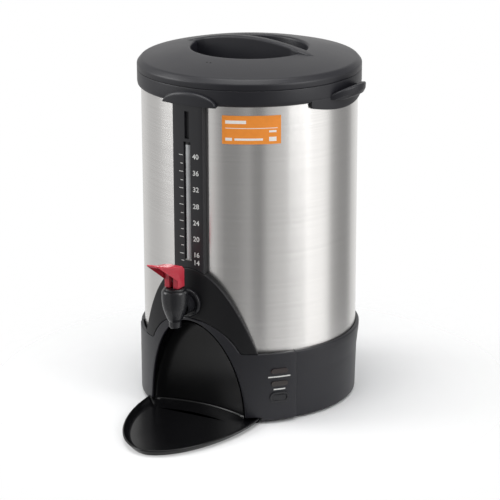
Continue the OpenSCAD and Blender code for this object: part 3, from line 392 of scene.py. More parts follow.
node_looks = [
    (charcoal, ("base_shell", "collar", "lid")),
    (cowl_black, ("front_cowl",)),
    (gloss_black, ("alcove_liner",)),
    (dish_black, ("drip_tray",)),
    (tap_black, ("power_inlet", "switch_body", "power_switch", "tap_bonnet", "tap_flange", "tap_body")),
    (strip_grey, ("gauge_strip",)),
    (red, ("tap_lever",)),
    (label_orange, ("label_plate",)),
    (steel, ("tank",)),
    (sheet, ("tank_floor", "bottom_plate", "heater_bracket")),
    (zinc, ("base_screws", "handle_screws", "inlet_screws", "tap_stem", "tap_spring", "lever_pin",
            "heater_nut", "centre_bolt", "centre_nut")),
    (brass, ("elbow_nut", "tap_nut", "inlet_pins")),
    (aluminium, ("basket_sleeve", "coffee_basket", "basket_cover", "heater_plate", "pump_tube",
                 "pump_foot", "pump_valve")),
    (heater, ("main_heater", "warming_heater")),
    (rubber, ("foot_ring", "gauge_plug")),
    (silicone, ("gauge_elbow", "seat_cup", "lid_seal")),
    (red_silicone, ("tap_gasket",)),
    (tube_clear, ("sight_tube",)),
    (white_plastic, ("thermal_fuse", "terminal_block")),
    (brown_plastic, ("thermostat",)),
    (wire_red, ("wiring",)),
    (lens_red, ("power_light",)),
    (lens_amber, ("ready_light",)),
    (lamp, ("pilot_lamps",)),
]
for mat, node_names in node_looks:
    for node_name in node_names:
        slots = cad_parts[node_name].data.materials
        slots.clear()
        slots.append(mat)


# ---------- base ----------

SIDE_X = DRUM_R * sin(radians(59.0))
BASE_TOP, SHOULDER_Z, RIM_Z = 73, 71.2, 1.5
SEAM_R, SEAM_Z, SEAM_BEND = 55.6, 50.9, 5
ARCH_HALF, ARCH_H = 55, 103.5
# the arch's points before this one face the seam, and those after it face the side
ARCH_CORNER = 61
FOOT_EDGE = 4.2
NOTCH_IN, NOTCH_LEFT, NOTCH_RIGHT, NOTCH_TOP = 50.5, 62.6, 68.2, 7.3


def seam(gap, end_x):
    """The line between base and cowl: round the arch, then bent outwards to end_x."""
    bend_z = BASE_TOP + SEAM_BEND
    rise = bend_z - SEAM_Z
    out = sqrt((SEAM_R + SEAM_BEND) ** 2 - rise ** 2)
    a = degrees(atan2(rise, out))
    over_arch = arc(0, SEAM_Z, SEAM_R + gap, 90, a, 30)
    outwards = arc(out, bend_z, SEAM_BEND - gap, 180 + a, 270, 8)
    return over_arch + outwards + [(end_x, BASE_TOP + gap)]


def foot_sink(x, z):
    """How far the front's lower edge is rounded back."""
    d = z - RIM_Z
    if d >= FOOT_EDGE:
        return 0.0
    return FOOT_EDGE - sqrt(max(0.0, FOOT_EDGE ** 2 - (FOOT_EDGE - d) ** 2))


arch_side = [(ARCH_HALF * cos(radians(a)), max(RIM_Z, ARCH_H * sin(radians(a)))) for a in range(90, 0, -1)]
arch_side.append((ARCH_HALF, RIM_Z))
seam_line = seam(0, SIDE_X - 1.6) + [(SIDE_X - 0.5, 72.5), (SIDE_X, SHOULDER_Z)]
side_line = [(SIDE_X, SHOULDER_Z - (SHOULDER_Z - RIM_Z) * k / 14) for k in range(15)]

# the arch's feet face the bottom corners, so both outlines are cut at matching places
top_in, top_out = matched(arch_side[:ARCH_CORNER + 1], seam_line, 56)
foot_in = resample(arch_side[ARCH_CORNER:], evenly(22))
foot_out = resample(side_line, evenly(22))


def with_feet(top, foot):
    """The top outline, continued down its left and right ends by a foot."""
    return [(-x, z) for x, z in reversed(foot[1:])] + top + foot[1:]


front = drum_plate(with_feet(top_in, foot_in), with_feet(top_out, foot_out), 1.0, 1.3, lambda x: 2.8,
                   n=14, sink=foot_sink)
ring_profile = fillet([
    (102.5, RIM_Z), (107.4, RIM_Z, 6), (108.9, 48, 40), (111.0, 66, 12), (111.4, BASE_TOP, 1.6),
    (107.9, BASE_TOP, 0.3), (107.8, 66), (106, 66), (106, 62), (105.8, 58), (104.4, 8), (102.5, 4)
], closed=True)
make("base_ring", *lathe(ring_profile, n=150, a0=54.9, a1=305.1, closed=True), charcoal,
     swap=("base_shell",))
base_front = make("base_front", *front, charcoal)

# the drip tray stands turned, so its notch reaches further on the right
cut(base_front,
    box(-NOTCH_LEFT, -NOTCH_IN, -120, -75, -1, NOTCH_TOP),
    box(NOTCH_IN, NOTCH_RIGHT, -120, -75, -1, NOTCH_TOP))
make("inlet_pad", *box(-26, 26, 101, 109.8, 24, 52), charcoal)


# ---------- tank ----------

WALL_IN, WALL_LOW, WALL_TOP = 106.7, 66, 326


def arch_prism(half_w, h):
    """The alcove's outline as a solid that reaches forward from the tank's axis."""
    side = [(half_w * cos(pi * i / 48), h * sin(pi * i / 48)) for i in range(49)]
    side = [(half_w, -5)] + side + [(-half_w, -5)]
    n = len(side)
    verts, faces = loft([[(x, y, z) for x, z in side] for y in (-20, -140)], ring=True)
    return verts, faces + [tuple(range(n)), tuple(range(n, 2 * n))[::-1]]


wall = [(TANK_R, WALL_LOW), (TANK_R, WALL_TOP), (WALL_IN, WALL_TOP), (WALL_IN, WALL_LOW)]
tank = make("tank_wall", *lathe(wall, n=360, closed=True), steel, swap=("tank",))
cut(tank, arch_prism(ARCH_HALF + 1, ARCH_H + 1))


# ---------- cowl ----------

COWL_TOP = 158
COWL_LOW = 73.35

cowl_curve = bezier((0, COWL_TOP), (27.7, COWL_TOP), (50.2, 124), (66, 72), 60)
cowl_side = [p for p in cowl_curve if p[1] > COWL_LOW + 0.05] + [(65.7, COWL_LOW)]
cowl_in, cowl_out = matched(seam(0.35, 65.6), cowl_side, 70)
make("cowl", *drum_plate(cowl_in, cowl_out, 0.8, 1.8, lambda x: depth_to(STEEL_R, x), n=14), cowl_black,
     swap=("front_cowl",))


# ---------- alcove ----------

BACK_Y, BACK_R = -224, 140
LINER_HALF, LINER_H, MOUTH_R = 52.9, 101.4, 105.6
BEND = 11.0
BEND_SHRINK = BEND / 53 * 0.8


def back_wall(x, r=BACK_R):
    """The Y of the alcove's curved back wall."""
    return BACK_Y + sqrt(r ** 2 - x * x)


def mouth_y(x):
    """The Y of the liner's front edge, just behind the drum."""
    return DRUM_Y - sqrt(MOUTH_R ** 2 - x * x)


def before_back(x, share):
    """The back wall, or a share of the bend in front of it."""
    return back_wall(x) - BEND * (1 - abs(x) / 90) * share


def liner_row(scale, y_of):
    """The arch's outline at a scale, each point set to its own depth."""
    line = []
    for i in range(73):
        a = radians(180 * i / 72)
        x, z = LINER_HALF * cos(a) * scale, LINER_H * sin(a) * scale
        line.append((x, y_of(x), max(z, RIM_Z)))
    return line


liner = [liner_row(1, mouth_y)]
for k in range(1, 7):
    liner.append(liner_row(1, lambda x, k=k: mouth_y(x) + (before_back(x, 1) - mouth_y(x)) * k / 6))
for k in range(1, 9):
    a = radians(90 * k / 8)
    liner.append(liner_row(1 - BEND_SHRINK * (1 - cos(a)), lambda x, a=a: before_back(x, 1 - sin(a))))
for k in range(1, 13):
    liner.append(liner_row((1 - BEND_SHRINK) * (1 - k / 12) + 0.0001, back_wall))
make("alcove", *loft(liner), gloss_black, sharp=50, swap=("alcove_liner",))


# ---------- collar and handles ----------

HANDLE_X, HANDLE_R, HANDLE_TOP = 97.0, 30.0, 333.0
HANDLE_DROOP, DROOP_SPAN, DROOP_POWER = 7.0, 63, 2.2
COLLAR_REACH = 110.4
APRON_R = 111.25
BOSS_R, BOSS_Z = 107.8, 320

collar_profile = fillet([
    (107.8, 320.2), (109.4, 320.0, 0.8), (110.9, 321.2, 1.5), (111.3, 324, 4), (111.3, 336, 0.8),
    (101, 336, 0.4), (101, 320.2), (103.5, 320.2), (103.5, 326.3), (107.8, 326.3)
], closed=True)


def handle_row(rho, z, n=48):
    """Part of a circle round the handle's own centre, from collar to collar, drooping at its ends."""
    reach = (COLLAR_REACH ** 2 - HANDLE_X ** 2 - rho ** 2) / (2 * HANDLE_X * rho)
    span = degrees(acos(max(-1, min(1, reach))))
    out = []
    for i in range(n + 1):
        turn = -span + 2 * span * i / n
        a = radians(turn)
        droop = HANDLE_DROOP * (abs(turn) / DROOP_SPAN) ** DROOP_POWER
        lowest = 318.5 + (z - 311) * 0.1
        out.append((HANDLE_X + rho * cos(a), rho * sin(a), max(lowest, z - droop)))
    return out


handle_profile = fillet([
    (15.0, 315.5), (27.6, 322.5, 4), (29.6, 326.8, 1.6), (HANDLE_R, HANDLE_TOP - 1.5, 1.0),
    (29.2, HANDLE_TOP, 0.9), (26.0, HANDLE_TOP, 0.8), (25.2, 325.8, 1.5), (15.5, 325.5)
])
handle = loft([handle_row(r, z) for r, z in handle_profile])


def apron():
    """The flat apron under a handle, with rounded lower corners."""
    side = [(49.5 * t / 24, 308.2 + 6.6 * (t / 24) ** 2) for t in range(25)] + [(49.6, 321.5)]
    lower = both_sides(resample(side, evenly(40)))
    upper = [(x, 322.5) for x, z in lower]
    return drum_plate(upper, lower, 0.2, 1.4, lambda x: 3.2, n=5, r=APRON_R, y=0)


def boss():
    """The rounded boss over the top of the gauge."""
    lower = [(-30 * cos(radians(a)), BOSS_Z + 12.5 * sin(radians(a))) for a in range(0, 181, 4)]
    upper = [(x, BOSS_Z - 0.6) for x, z in lower]
    return drum_plate(upper, lower, 0.2, 3.0, lambda x: depth_to(TANK_R + 1, x, BOSS_R), n=6,
                      r=BOSS_R, y=DRUM_Y)


collar_parts = [lathe(collar_profile, n=200, closed=True)]
for turn in (0, 180):
    collar_parts += [moved(handle, turn), moved(apron(), 90 + turn)]
collar_parts.append(boss())
make("collar_ring", *merge(*collar_parts), charcoal, swap=("collar",))


# ---------- lid ----------

DOME_TOP, DOME_DROP, DOME_R, DOME_POWER = 359.3, 12.24, 105.0, 2.3
RIM_R, RIM_LOW = 111.3, 336.3
LID_R = 103
HALF_W, HALF_D, FLOOR = 58.0, 57.0, 330.6
HOLLOW_EDGE, HOLLOW_LEAN, HOLLOW_BEND = 3, 2.5, 5
GRIP_L, CROWN = 73.0, 366.0
GRIP_END = 50
GRIP_HALF_W = 4.5
UNDER_FLOOR = FLOOR - 3.2
# how far into the hollow's ellipse, and up to what height, the lid's faces take the painted shade
HOLLOW_SHADE_SHARE, HOLLOW_SHADE_TOP = 0.9, 348
HOLE_Y, HOLE_R = -75, 75.03
LID_STEPS = 180


def dome(r):
    """The height of the lid's top at radius r."""
    return DOME_TOP - DOME_DROP * (r / DOME_R) ** DOME_POWER


def dome_at(x, y):
    return dome(sqrt(x * x + y * y))


def hollow_row(off, height):
    """The hollow's outline, moved outwards by off, each point at its own height."""
    row = []
    for i in range(LID_STEPS):
        a = 2 * pi * i / LID_STEPS
        nx, ny = cos(a) / HALF_W, sin(a) / HALF_D
        m = sqrt(nx * nx + ny * ny)
        x, y = HALF_W * cos(a) + off * nx / m, HALF_D * sin(a) + off * ny / m
        row.append((x, y, height(x, y)))
    return row


def lid_rows():
    """The lid from its rim over the dome and down to the hollow's floor."""
    ang = [2 * pi * i / LID_STEPS for i in range(LID_STEPS)]
    rows = []
    rim = fillet([(104.5, RIM_LOW), (RIM_R, RIM_LOW, 0.4), (RIM_R, 341.8, 3.2), (107.2, 346.6, 5),
                  (LID_R, dome(LID_R))], steps=6)
    for r, z in rim:
        rows.append([(r * cos(a), r * sin(a), z) for a in ang])
    for k in range(1, 15):
        t = k / 14
        row = []
        for a in ang:
            x = (LID_R * (1 - t) + (HALF_W + HOLLOW_EDGE) * t) * cos(a)
            y = (LID_R * (1 - t) + (HALF_D + HOLLOW_EDGE) * t) * sin(a)
            row.append((x, y, dome_at(x, y)))
        rows.append(row)
    for k in range(1, 7):
        b = radians(90 * k / 6)
        off, low = HOLLOW_EDGE - HOLLOW_EDGE * sin(b), HOLLOW_EDGE * (1 - cos(b))
        rows.append(hollow_row(off, lambda x, y, low=low: dome_at(x, y) - low))
    wall_low = FLOOR + HOLLOW_BEND
    for k in range(1, 6):
        t = k / 6
        rows.append(hollow_row(-HOLLOW_LEAN * t, lambda x, y, t=t:
                               (dome_at(x, y) - HOLLOW_EDGE) * (1 - t) + wall_low * t))
    for k in range(1, 7):
        b = radians(90 * k / 6)
        rows.append(hollow_row(-HOLLOW_LEAN - HOLLOW_BEND * (1 - cos(b)),
                               lambda x, y, b=b: FLOOR + HOLLOW_BEND * (1 - sin(b))))
    floor_in = HOLLOW_LEAN + HOLLOW_BEND
    for s in (0.8, 0.55, 0.3, 0.05):
        rows.append([((HALF_W - floor_in) * s * cos(a), (HALF_D - floor_in) * s * sin(a), FLOOR)
                     for a in ang])
    return rows


def crown(x):
    """The height of the grip bar's top, from the middle down to the dome."""
    return CROWN - (CROWN - dome(GRIP_L) - 0.2) * (x / GRIP_L) ** 2


def grip():
    """The bar between the two finger hollows, round on top, with pointed ends on the dome."""
    rows = []
    for i in range(73):
        x = -GRIP_L + 2 * GRIP_L * i / 72
        top = crown(x)
        out = max(0.0, (abs(x) - GRIP_END) / (GRIP_L - GRIP_END))
        in_hollow = abs(x) < HALF_W + 1
        w = (GRIP_HALF_W + GRIP_HALF_W * out) * (1 - out ** 3) + 0.05
        low = FLOOR - 1 if in_hollow else dome(abs(x)) - 1.5
        r = min(2.6, w * 0.9, max(0.05, (top - low) * 0.8))
        mid = min(FLOOR + 6, top) if in_hollow else low + 0.1
        foot = w + 1.5 * (1 - out)
        sec = [(-foot, low), (-w, mid)]
        sec += [(-w + r - r * cos(radians(b)), top - r + r * sin(radians(b))) for b in range(0, 91, 15)]
        sec += [(w - r + r * sin(radians(b)), top - r + r * cos(radians(b))) for b in range(0, 91, 15)]
        sec += [(w, mid), (foot, low)]
        rows.append([(x, y, z) for y, z in sec])
    return loft(rows)


def under_rows():
    """The lid's underside, from its rim to below the hollow's floor."""
    rows = []
    ang = [2 * pi * i / 144 for i in range(144)]
    for r, z in ((104.5, RIM_LOW), (103.6, 343.5), (99, 344.8), (76, 349.5)):
        rows.append([(r * cos(a), r * sin(a), z) for a in ang])
    for off, z in ((2.6, 350), (1.8, 340), (0.5, UNDER_FLOOR), (-20, UNDER_FLOOR), (-50, UNDER_FLOOR)):
        rows.append([((HALF_W + off) * cos(a), (HALF_D + off) * sin(a), z) for a in ang])
    return rows


def steam_hole_shade(x):
    """A small near-black cap standing on the dome in front of the hollow: painted shade where a steam hole
    would be.
    """
    verts, faces = lathe([(0.05, 0.25), (0.8, 0.25), (0.8, -1.0)], n=16, at=(x, HOLE_Y))
    return [(vx, vy, vz + dome(HOLE_R) - 0.1) for vx, vy, vz in verts], faces


def in_hollow_shade(center):
    """Whether a face of the lid, by its centre in metres, lies well inside the hollow, where the painted
    shade goes.
    """
    x, y, z = (value / MM for value in center)
    return (x / HALF_W) ** 2 + (y / HALF_D) ** 2 < HOLLOW_SHADE_SHARE and z < HOLLOW_SHADE_TOP


plug = fillet([(97, 320), (99.4, 320, 0.6), (99.4, 337), (97, 337)], closed=True)
lid = make("lid_shell", *merge(loft(lid_rows(), ring=True), lathe(plug, n=160, closed=True)), charcoal,
           "lid", swap=("lid",))
# the faces deep in the finger hollow take the second, darker material: painted shade, not the lid's own
# colour
lid.data.materials.append(painted_hollow_shade)
for poly in lid.data.polygons:
    if in_hollow_shade(poly.center):
        poly.material_index = 1
make("lid_grip", *grip(), charcoal, "lid")
make("lid_underside", *loft(under_rows(), ring=True), charcoal, "lid")
# two dark caps on the dome: painted shade in place of the steam holes
make("lid_hole_shades", *merge(steam_hole_shade(-2), steam_hole_shade(2)), painted_hole_shade, "lid")


# ---------- gauge ----------

STRIP_HALF, STRIP_EDGE = 17, 0.8
GROOVE_HALF, GROOVE_LOW, GROOVE_TOP, GROOVE_DEPTH = 3.8, 165.35, 283.95, 6.6
SLOT_HALF, SLOT_LOW, SLOT_TOP, SLOT_DEPTH = 2.5, 286.95, 313.95, 3.0
MARK_X, MARK_SIZE, MARK_WEIGHT = 9.4, 0.0068, 0.00012
LONG_TICK, SHORT_TICK, TICK_END, TICK_H = -9.5, -7.8, -4.6, 0.7

strip_side = [0, 2.45, 2.6, 3.75, 3.9, 5, 8, 12, 16.2, 16.6, 16.9, STRIP_HALF]
strip_x = [-x for x in reversed(strip_side[1:])] + strip_side
strip_z = [150, 156, 160, 164, 165.3, 165.4, 172, 190, 210, 230, 250, 270, 283.9, 284.0, 286.9, 287.0,
           295, 305, 313.9, 314.0, 317, 319.6]


def cowl_top(x):
    """Just over the cowl's upper edge."""
    best = min(cowl_side, key=lambda p: abs(p[0] - abs(x)))
    return best[1] + 0.3


def strip_depth(x, z):
    """The strip's rounded edges, the groove for the tube and the slot over it."""
    e = STRIP_HALF - abs(x)
    d = STRIP_EDGE - sqrt(max(0.0, STRIP_EDGE ** 2 - (STRIP_EDGE - e) ** 2)) if e < STRIP_EDGE else 0.0
    if abs(x) < GROOVE_HALF and GROOVE_LOW < z < GROOVE_TOP:
        d = GROOVE_DEPTH
    if abs(x) < SLOT_HALF and SLOT_LOW < z < SLOT_TOP:
        d = SLOT_DEPTH
    return d


def strip_row(z):
    """One row across the strip, from the steel on its left to the steel on its right."""
    ends = [on_drum(x, max(z, cowl_top(x)), depth_to(STEEL_R, x)) for x in (-STRIP_HALF, STRIP_HALF)]
    face = [on_drum(x, max(z, cowl_top(x)), strip_depth(x, z)) for x in strip_x]
    return [ends[0]] + face + [ends[1]]


def tick_mark(x0, z):
    """A thin printed tick on the strip, rounded at its corners."""
    z0, z1 = z - TICK_H / 2, z + TICK_H / 2
    side = fillet([(x0, z0, 0.3), (TICK_END, z0, 0.3), (TICK_END, z1, 0.3), (x0, z1, 0.3)],
                  closed=True, steps=2)
    face = [on_drum(x, z, -0.06) for x, z in side]
    return face, [tuple(range(len(face)))]


def number_mark(text, z):
    """A plain number beside the ticks, as a flat mesh on the strip."""
    font = bpy.data.curves.new("mark_" + text, "FONT")
    font.body = text
    font.size = MARK_SIZE
    font.align_x = "CENTER"
    font.align_y = "CENTER"
    font.offset = MARK_WEIGHT
    curve = bpy.data.objects.new("mark_" + text, font)
    bpy.context.scene.collection.objects.link(curve)
    px, py, pz = on_drum(MARK_X, z, -0.08)
    curve.matrix_world = (Matrix.Translation((px * MM, py * MM, pz * MM)) @
                          Matrix.Rotation(asin(MARK_X / DRUM_R), 4, "Z") @ Matrix.Rotation(pi / 2, 4, "X"))
    bpy.context.view_layer.update()
    data = bpy.data.meshes.new_from_object(curve.evaluated_get(bpy.context.evaluated_depsgraph_get()))
    data.transform(curve.matrix_world)
    bpy.data.objects.remove(curve)
    obj = bpy.data.objects.new("mark_" + text, data)
    data.materials.clear()
    data.materials.append(mark_white)
    bpy.context.scene.collection.objects.link(obj)
    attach(obj, "urn")


make("gauge", *loft([strip_row(z) for z in strip_z]), strip_grey, sharp=40, swap=("gauge_strip",))
tick_z = [270.6, 262.3, 254.2, 245.7, 237.7, 229.3, 221.3, 212.8, 204.8, 196.6, 188.7, 180.2, 171.9, 164.7]
ticks = [tick_mark(LONG_TICK if i % 2 == 0 else SHORT_TICK, z) for i, z in enumerate(tick_z)]
make("gauge_ticks", *merge(*ticks), mark_white)
for text, z in (("40", 270.1), ("36", 253.7), ("32", 237.5), ("28", 220.6), ("24", 204.1), ("20", 187.9),
                ("16", 171.9), ("14", 163.9)):
    number_mark(text, z)


# ---------- label ----------

LABEL_R, PRINT_LIFT = 107.78, 0.02


def label_patch(a0, a1, z0, z1, lift=0.0, n=24):
    """A patch on the tank's wall between two bearings and two heights."""
    rows = []
    for k in range(n + 1):
        x, y = polar(LABEL_R + lift, a0 + (a1 - a0) * k / n)
        rows.append([(x, y, z0), (x, y, z1)])
    return loft(rows)


make("label", *label_patch(17.2, 47.4, 283.6, 311.4), label_orange, swap=("label_plate",))
bars = [(18.9, 29.5, 303.6, 306.8), (18.9, 45.6, 298.9, 299.5), (18.9, 22.3, 287.0, 289.8),
        (23.6, 38.0, 287.3, 289.4), (41.2, 45.0, 295.0, 297.0), (41.2, 45.0, 286.4, 290.6)]
make("label_print", *merge(*[label_patch(*bar, PRINT_LIFT) for bar in bars]), label_white)


# ---------- tap ----------

TAP_Y, TAP_Z = -140.0, 122.5
SPOUT_LOW, BODY_TOP = 104, 142.6

tap_profile = fillet([
    (4.2, 106), (4.2, SPOUT_LOW), (5.0, SPOUT_LOW, 0.3), (5.7, 105, 0.6), (6.2, 110.6, 1), (8.0, 113.9, 5),
    (9.8, 118.5, 12), (11.6, 124, 20), (12.5, 129.5, 20), (12.8, 134.5, 10), (12.7, 140.6, 1),
    (11.9, BODY_TOP, 0.8), (10.2, BODY_TOP), (10.2, 136)
], steps=6)
shank = along_y(fillet([(8.05, -96), (8.05, -119.1), (9.6, -119.3, 0.5), (9.6, -131)], steps=3), TAP_Z)
make("tap", *merge(lathe(tap_profile, n=96, at=(0, TAP_Y)), shank), tap_black, swap=("tap_body",))
lining = [(10.2, 136), (9.4, 128), (7, 120), (5.5, 114), (3.4, 114), (3.4, 111.5), (4.2, 110),
          (4.2, SPOUT_LOW)]
make("tap_lining", *lathe(lining, n=64, at=(0, TAP_Y)), tap_black)
flange = fillet([(8.1, -115.6), (14.25, -115.6), (14.25, -118.0, 0.9), (12.6, -119.2, 0.8),
                 (11.4, -118.5, 0.6), (8.1, -118.3)], steps=4)
make("flange", *along_y(flange, TAP_Z), tap_black, swap=("tap_flange",))
bonnet = fillet([(2.06, 137), (10.1, 137), (10.1, 142.7), (10.55, 142.7), (10.55, 145, 0.8), (2.06, 145)],
                steps=4)
make("bonnet", *lathe(bonnet, n=72, at=(0, TAP_Y)), tap_black, swap=("tap_bonnet",))


# ---------- lever ----------

CHEEK_HALF, PADDLE_TAPER, PADDLE_Y, TAPER_L = 8, 1.4, -6, 30
CHEEK_LOW, SLOT_HALF_W, SLOT_HALF_D = 145.3, 2.3, 7


def lever_shape():
    """Side outline of the cheeks and the paddle, with the half width at each point."""
    outline = fillet([
        (6, CHEEK_LOW, 1.2), (6, 163.5, 3), (2.5, 166.8, 3), (-8, 169.5, 8), (-20, 171.6, 20),
        (-38.3, 177.4, 1.2), (-38.5, 175.6, 1.2), (-20, 168.3, 20), (-9.5, 162.5, 5), (-6, 158, 5),
        (-6, CHEEK_LOW, 1.2)
    ], closed=True, steps=5)
    widths = []
    for y, z in outline:
        t = max(0.0, min(1.0, (-y + PADDLE_Y) / TAPER_L))
        widths.append(CHEEK_HALF - PADDLE_TAPER * t if y < PADDLE_Y else CHEEK_HALF)
    return outline, widths


def extruded(outline, widths, edge):
    """An outline in the Y-Z plane, drawn out along X to its own half width, with rounded edges."""
    n = len(outline)
    normals = []
    for i in range(n):
        a, b = Vector(outline[i - 1]), Vector(outline[(i + 1) % n])
        d = (b - a).normalized()
        normals.append((d.y, -d.x))
    flip = area_sign(outline)
    rows = []
    for side in (-1, 1):
        for k in (range(5) if side < 0 else range(4, -1, -1)):
            b = radians(90 * k / 4)
            off = edge * (1 - sin(b))
            row = []
            for (y, z), w, (ny, nz) in zip(outline, widths, normals):
                row.append((side * (w - edge + edge * cos(b)), y - flip * ny * off, z - flip * nz * off))
            rows.append(row)
    verts, faces = loft(rows, ring=True)
    faces.append(tuple(range(n)))
    faces.append(tuple(range(len(verts) - n, len(verts)))[::-1])
    return verts, faces


lever = make("lever", *extruded(*lever_shape(), 1.3), red, "tap_lever", sharp=40)
lever.data.transform(Matrix.Translation((0, TAP_Y * MM, 0)))
cut(lever, box(-SLOT_HALF_W, SLOT_HALF_W, TAP_Y - SLOT_HALF_D, TAP_Y + SLOT_HALF_D, 144, 158))
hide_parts("tap_lever")


# ---------- drip tray ----------

TRAY_TURN, TRAY_SHIFT, TRAY_MID = 5.0, 3.0, -100.0
TRAY_HALF, TRAY_DEPTH, TRAY_POWER = 64.0, 120.0, 2 / 1.81
SHOULDER_Y, NECK_Y, NECK_HALF, NECK_BACK_R = 8.5, 9.8, 49.8, 139.6
TRAY_TOP, DISH_Z = 7.0, 2.15
DISH_WALL, TRAY_FOOT = 2.4, 5.6


def turned(x, y):
    """A point of the tray's own plan, turned and shifted to where the tray stands."""
    a = radians(TRAY_TURN)
    return x * cos(a) - y * sin(a) + TRAY_SHIFT, x * sin(a) + y * cos(a) + TRAY_MID


def tray_line():
    """The tray's outline seen from above, from the right shoulder round the front, left and back."""
    pts = [turned(TRAY_HALF, SHOULDER_Y)]
    for i in range(81):
        a = radians(180 * i / 80)
        c, s = cos(a), sin(a)
        pts.append(turned(TRAY_HALF * (1 if c >= 0 else -1) * abs(c) ** TRAY_POWER,
                          -TRAY_DEPTH * abs(s) ** TRAY_POWER))
    pts += [turned(-TRAY_HALF, SHOULDER_Y), turned(-TRAY_HALF + 1.5, NECK_Y), turned(-52.5, NECK_Y)]
    for k in range(31):
        x = -NECK_HALF + 2 * NECK_HALF * k / 30
        pts.append((x, back_wall(x, NECK_BACK_R)))
    return pts + [turned(50.5, NECK_Y), turned(TRAY_HALF - 1.5, NECK_Y)]


def inset(points, dist):
    """Moves a closed outline inwards; dist may differ from point to point."""
    n = len(points)
    out = []
    flip = area_sign(points)
    for i in range(n):
        a, b = Vector(points[i - 1]), Vector(points[(i + 1) % n])
        d = (b - a).normalized()
        w = dist(points[i]) if callable(dist) else dist
        out.append((points[i][0] - flip * d.y * w, points[i][1] + flip * d.x * w))
    return out


def smooth(points, times):
    """Evens out a closed outline."""
    for _ in range(times):
        n = len(points)
        points = [((points[i - 1][0] + 2 * points[i][0] + points[(i + 1) % n][0]) / 4,
                   (points[i - 1][1] + 2 * points[i][1] + points[(i + 1) % n][1]) / 4) for i in range(n)]
    return points


def slope_width(p):
    """The width of the dish's sloped edge, wider towards the back."""
    back_share = max(0.0, min(1.0, (p[1] + 135) / 40))
    return 8 + 10 * back_share


def flat(points, z):
    """A flat face at height z."""
    return [(x, y, z) for x, y in points], [tuple(range(len(points)))]


tray_outline = tray_line()
line = resample(tray_outline + [tray_outline[0]], [i / 240 for i in range(240)])
tray_rows = [
    (inset(line, TRAY_FOOT), 0.0), (inset(line, 4.9), 0.4), (inset(line, 4.2), 1.2),
    (inset(line, 1.0), 4.6), (inset(line, 0.25), 5.5), (line, 6.1), (inset(line, 0.25), TRAY_TOP - 0.35),
    (inset(line, 0.8), TRAY_TOP), (inset(line, 1.5), TRAY_TOP - 0.05), (inset(line, 2.0), TRAY_TOP - 0.5),
    (inset(line, DISH_WALL), TRAY_TOP - 1.2)
]
slope_top = smooth(inset(line, DISH_WALL), 2)
dish_line = smooth(inset(line, slope_width), 30)
for k in range(1, 8):
    t = k / 7
    z = TRAY_TOP - 1.2 + (DISH_Z - TRAY_TOP + 1.2) * sin(t * pi / 2)
    tray_rows.append(([(a[0] + (b[0] - a[0]) * t, a[1] + (b[1] - a[1]) * t)
                       for a, b in zip(slope_top, dish_line)], z))
tray_sides = loft([[(x, y, z) for x, y in pts] for pts, z in tray_rows], ring=True)
make("tray", *merge(tray_sides, flat(dish_line, DISH_Z), flat(inset(line, TRAY_FOOT), 0.0)), dish_black,
     "drip_tray", sharp=40, swap=("drip_tray",))


# ---------- control panel ----------

PANEL_ANGLE, PANEL_LIFT = 49, 0.06


def panel_patch(half, z0, z1):
    """A printed bar on the drum, centred on the panel."""
    rows = []
    for k in range(9):
        a = PANEL_ANGLE + degrees((-half + 2 * half * k / 8) / DRUM_R)
        x, y = polar(DRUM_R + PANEL_LIFT, a)
        rows.append([(x, DRUM_Y + y, z0), (x, DRUM_Y + y, z1)])
    return loft(rows)


make("panel_print", *merge(panel_patch(11.5, 48.2, 49.5), panel_patch(6, 35.2, 36.5)), mark_white)


# ---------- studio ----------

# lengths in the studio and for the camera are in metres
FLOOR_R, FADE_FROM, FADE_TO = 0.6, 0.10, 0.36
CAMERA_SIDE = radians(31.3)
SOFT_COLOR, SOFT_LEVEL = (0.86, 0.88, 0.9, 1), 0.45
ROOM_LEVEL = 2.0
WARM = (0.5, 0.497, 0.492)

# The room round the object, as a glossy surface sees it: bearing from the
# camera's own side in degrees, and how light the room is there.
ROOM = [(-180, 0.80), (-148, 0.73), (-130, 0.62), (-105, 0.60), (-80, 0.66), (-46, 0.80), (-40, 0.70),
        (-33, 0.42), (-27, 0.29), (-14, 0.30), (-7, 0.36), (-1, 0.42), (4, 0.30), (11, 0.26), (15, 0.36),
        (19, 0.54), (32, 0.66), (45, 0.66), (59, 0.82), (64, 1.2), (69, 1.3), (82, 1.3), (91, 1.1),
        (97, 0.62), (103, 0.46), (113, 0.36), (125, 0.34), (134, 0.45), (142, 0.76), (160, 0.9)]


def add_floor():
    """A pale round floor that fades out, so that only the object's shadow shows on it."""
    bpy.ops.mesh.primitive_circle_add(vertices=96, radius=FLOOR_R, fill_type="NGON", location=(0, 0, 0))
    floor = bpy.context.object
    floor.name = "floor"
    paper = material("floor_paper", (0.86, 0.86, 0.86), 0.75, vary=0.01, scale=3, rough_vary=0.02)
    nodes, links = paper.node_tree.nodes, paper.node_tree.links
    clear = nodes.new("ShaderNodeBsdfTransparent")
    place = nodes.new("ShaderNodeTexCoord")
    length = nodes.new("ShaderNodeVectorMath")
    length.operation = "LENGTH"
    fade = nodes.new("ShaderNodeMapRange")
    fade.inputs["From Min"].default_value = FADE_FROM
    fade.inputs["From Max"].default_value = FADE_TO
    fade.interpolation_type = "SMOOTHSTEP"
    blend = nodes.new("ShaderNodeMixShader")
    links.new(place.outputs["Object"], length.inputs[0])
    links.new(length.outputs["Value"], fade.inputs["Value"])
    links.new(fade.outputs["Result"], blend.inputs["Fac"])
    links.new(nodes["Principled BSDF"].outputs["BSDF"], blend.inputs[1])
    links.new(clear.outputs["BSDF"], blend.inputs[2])
    links.new(blend.outputs["Shader"], nodes["Material Output"].inputs["Surface"])
    floor.data.materials.append(paper)


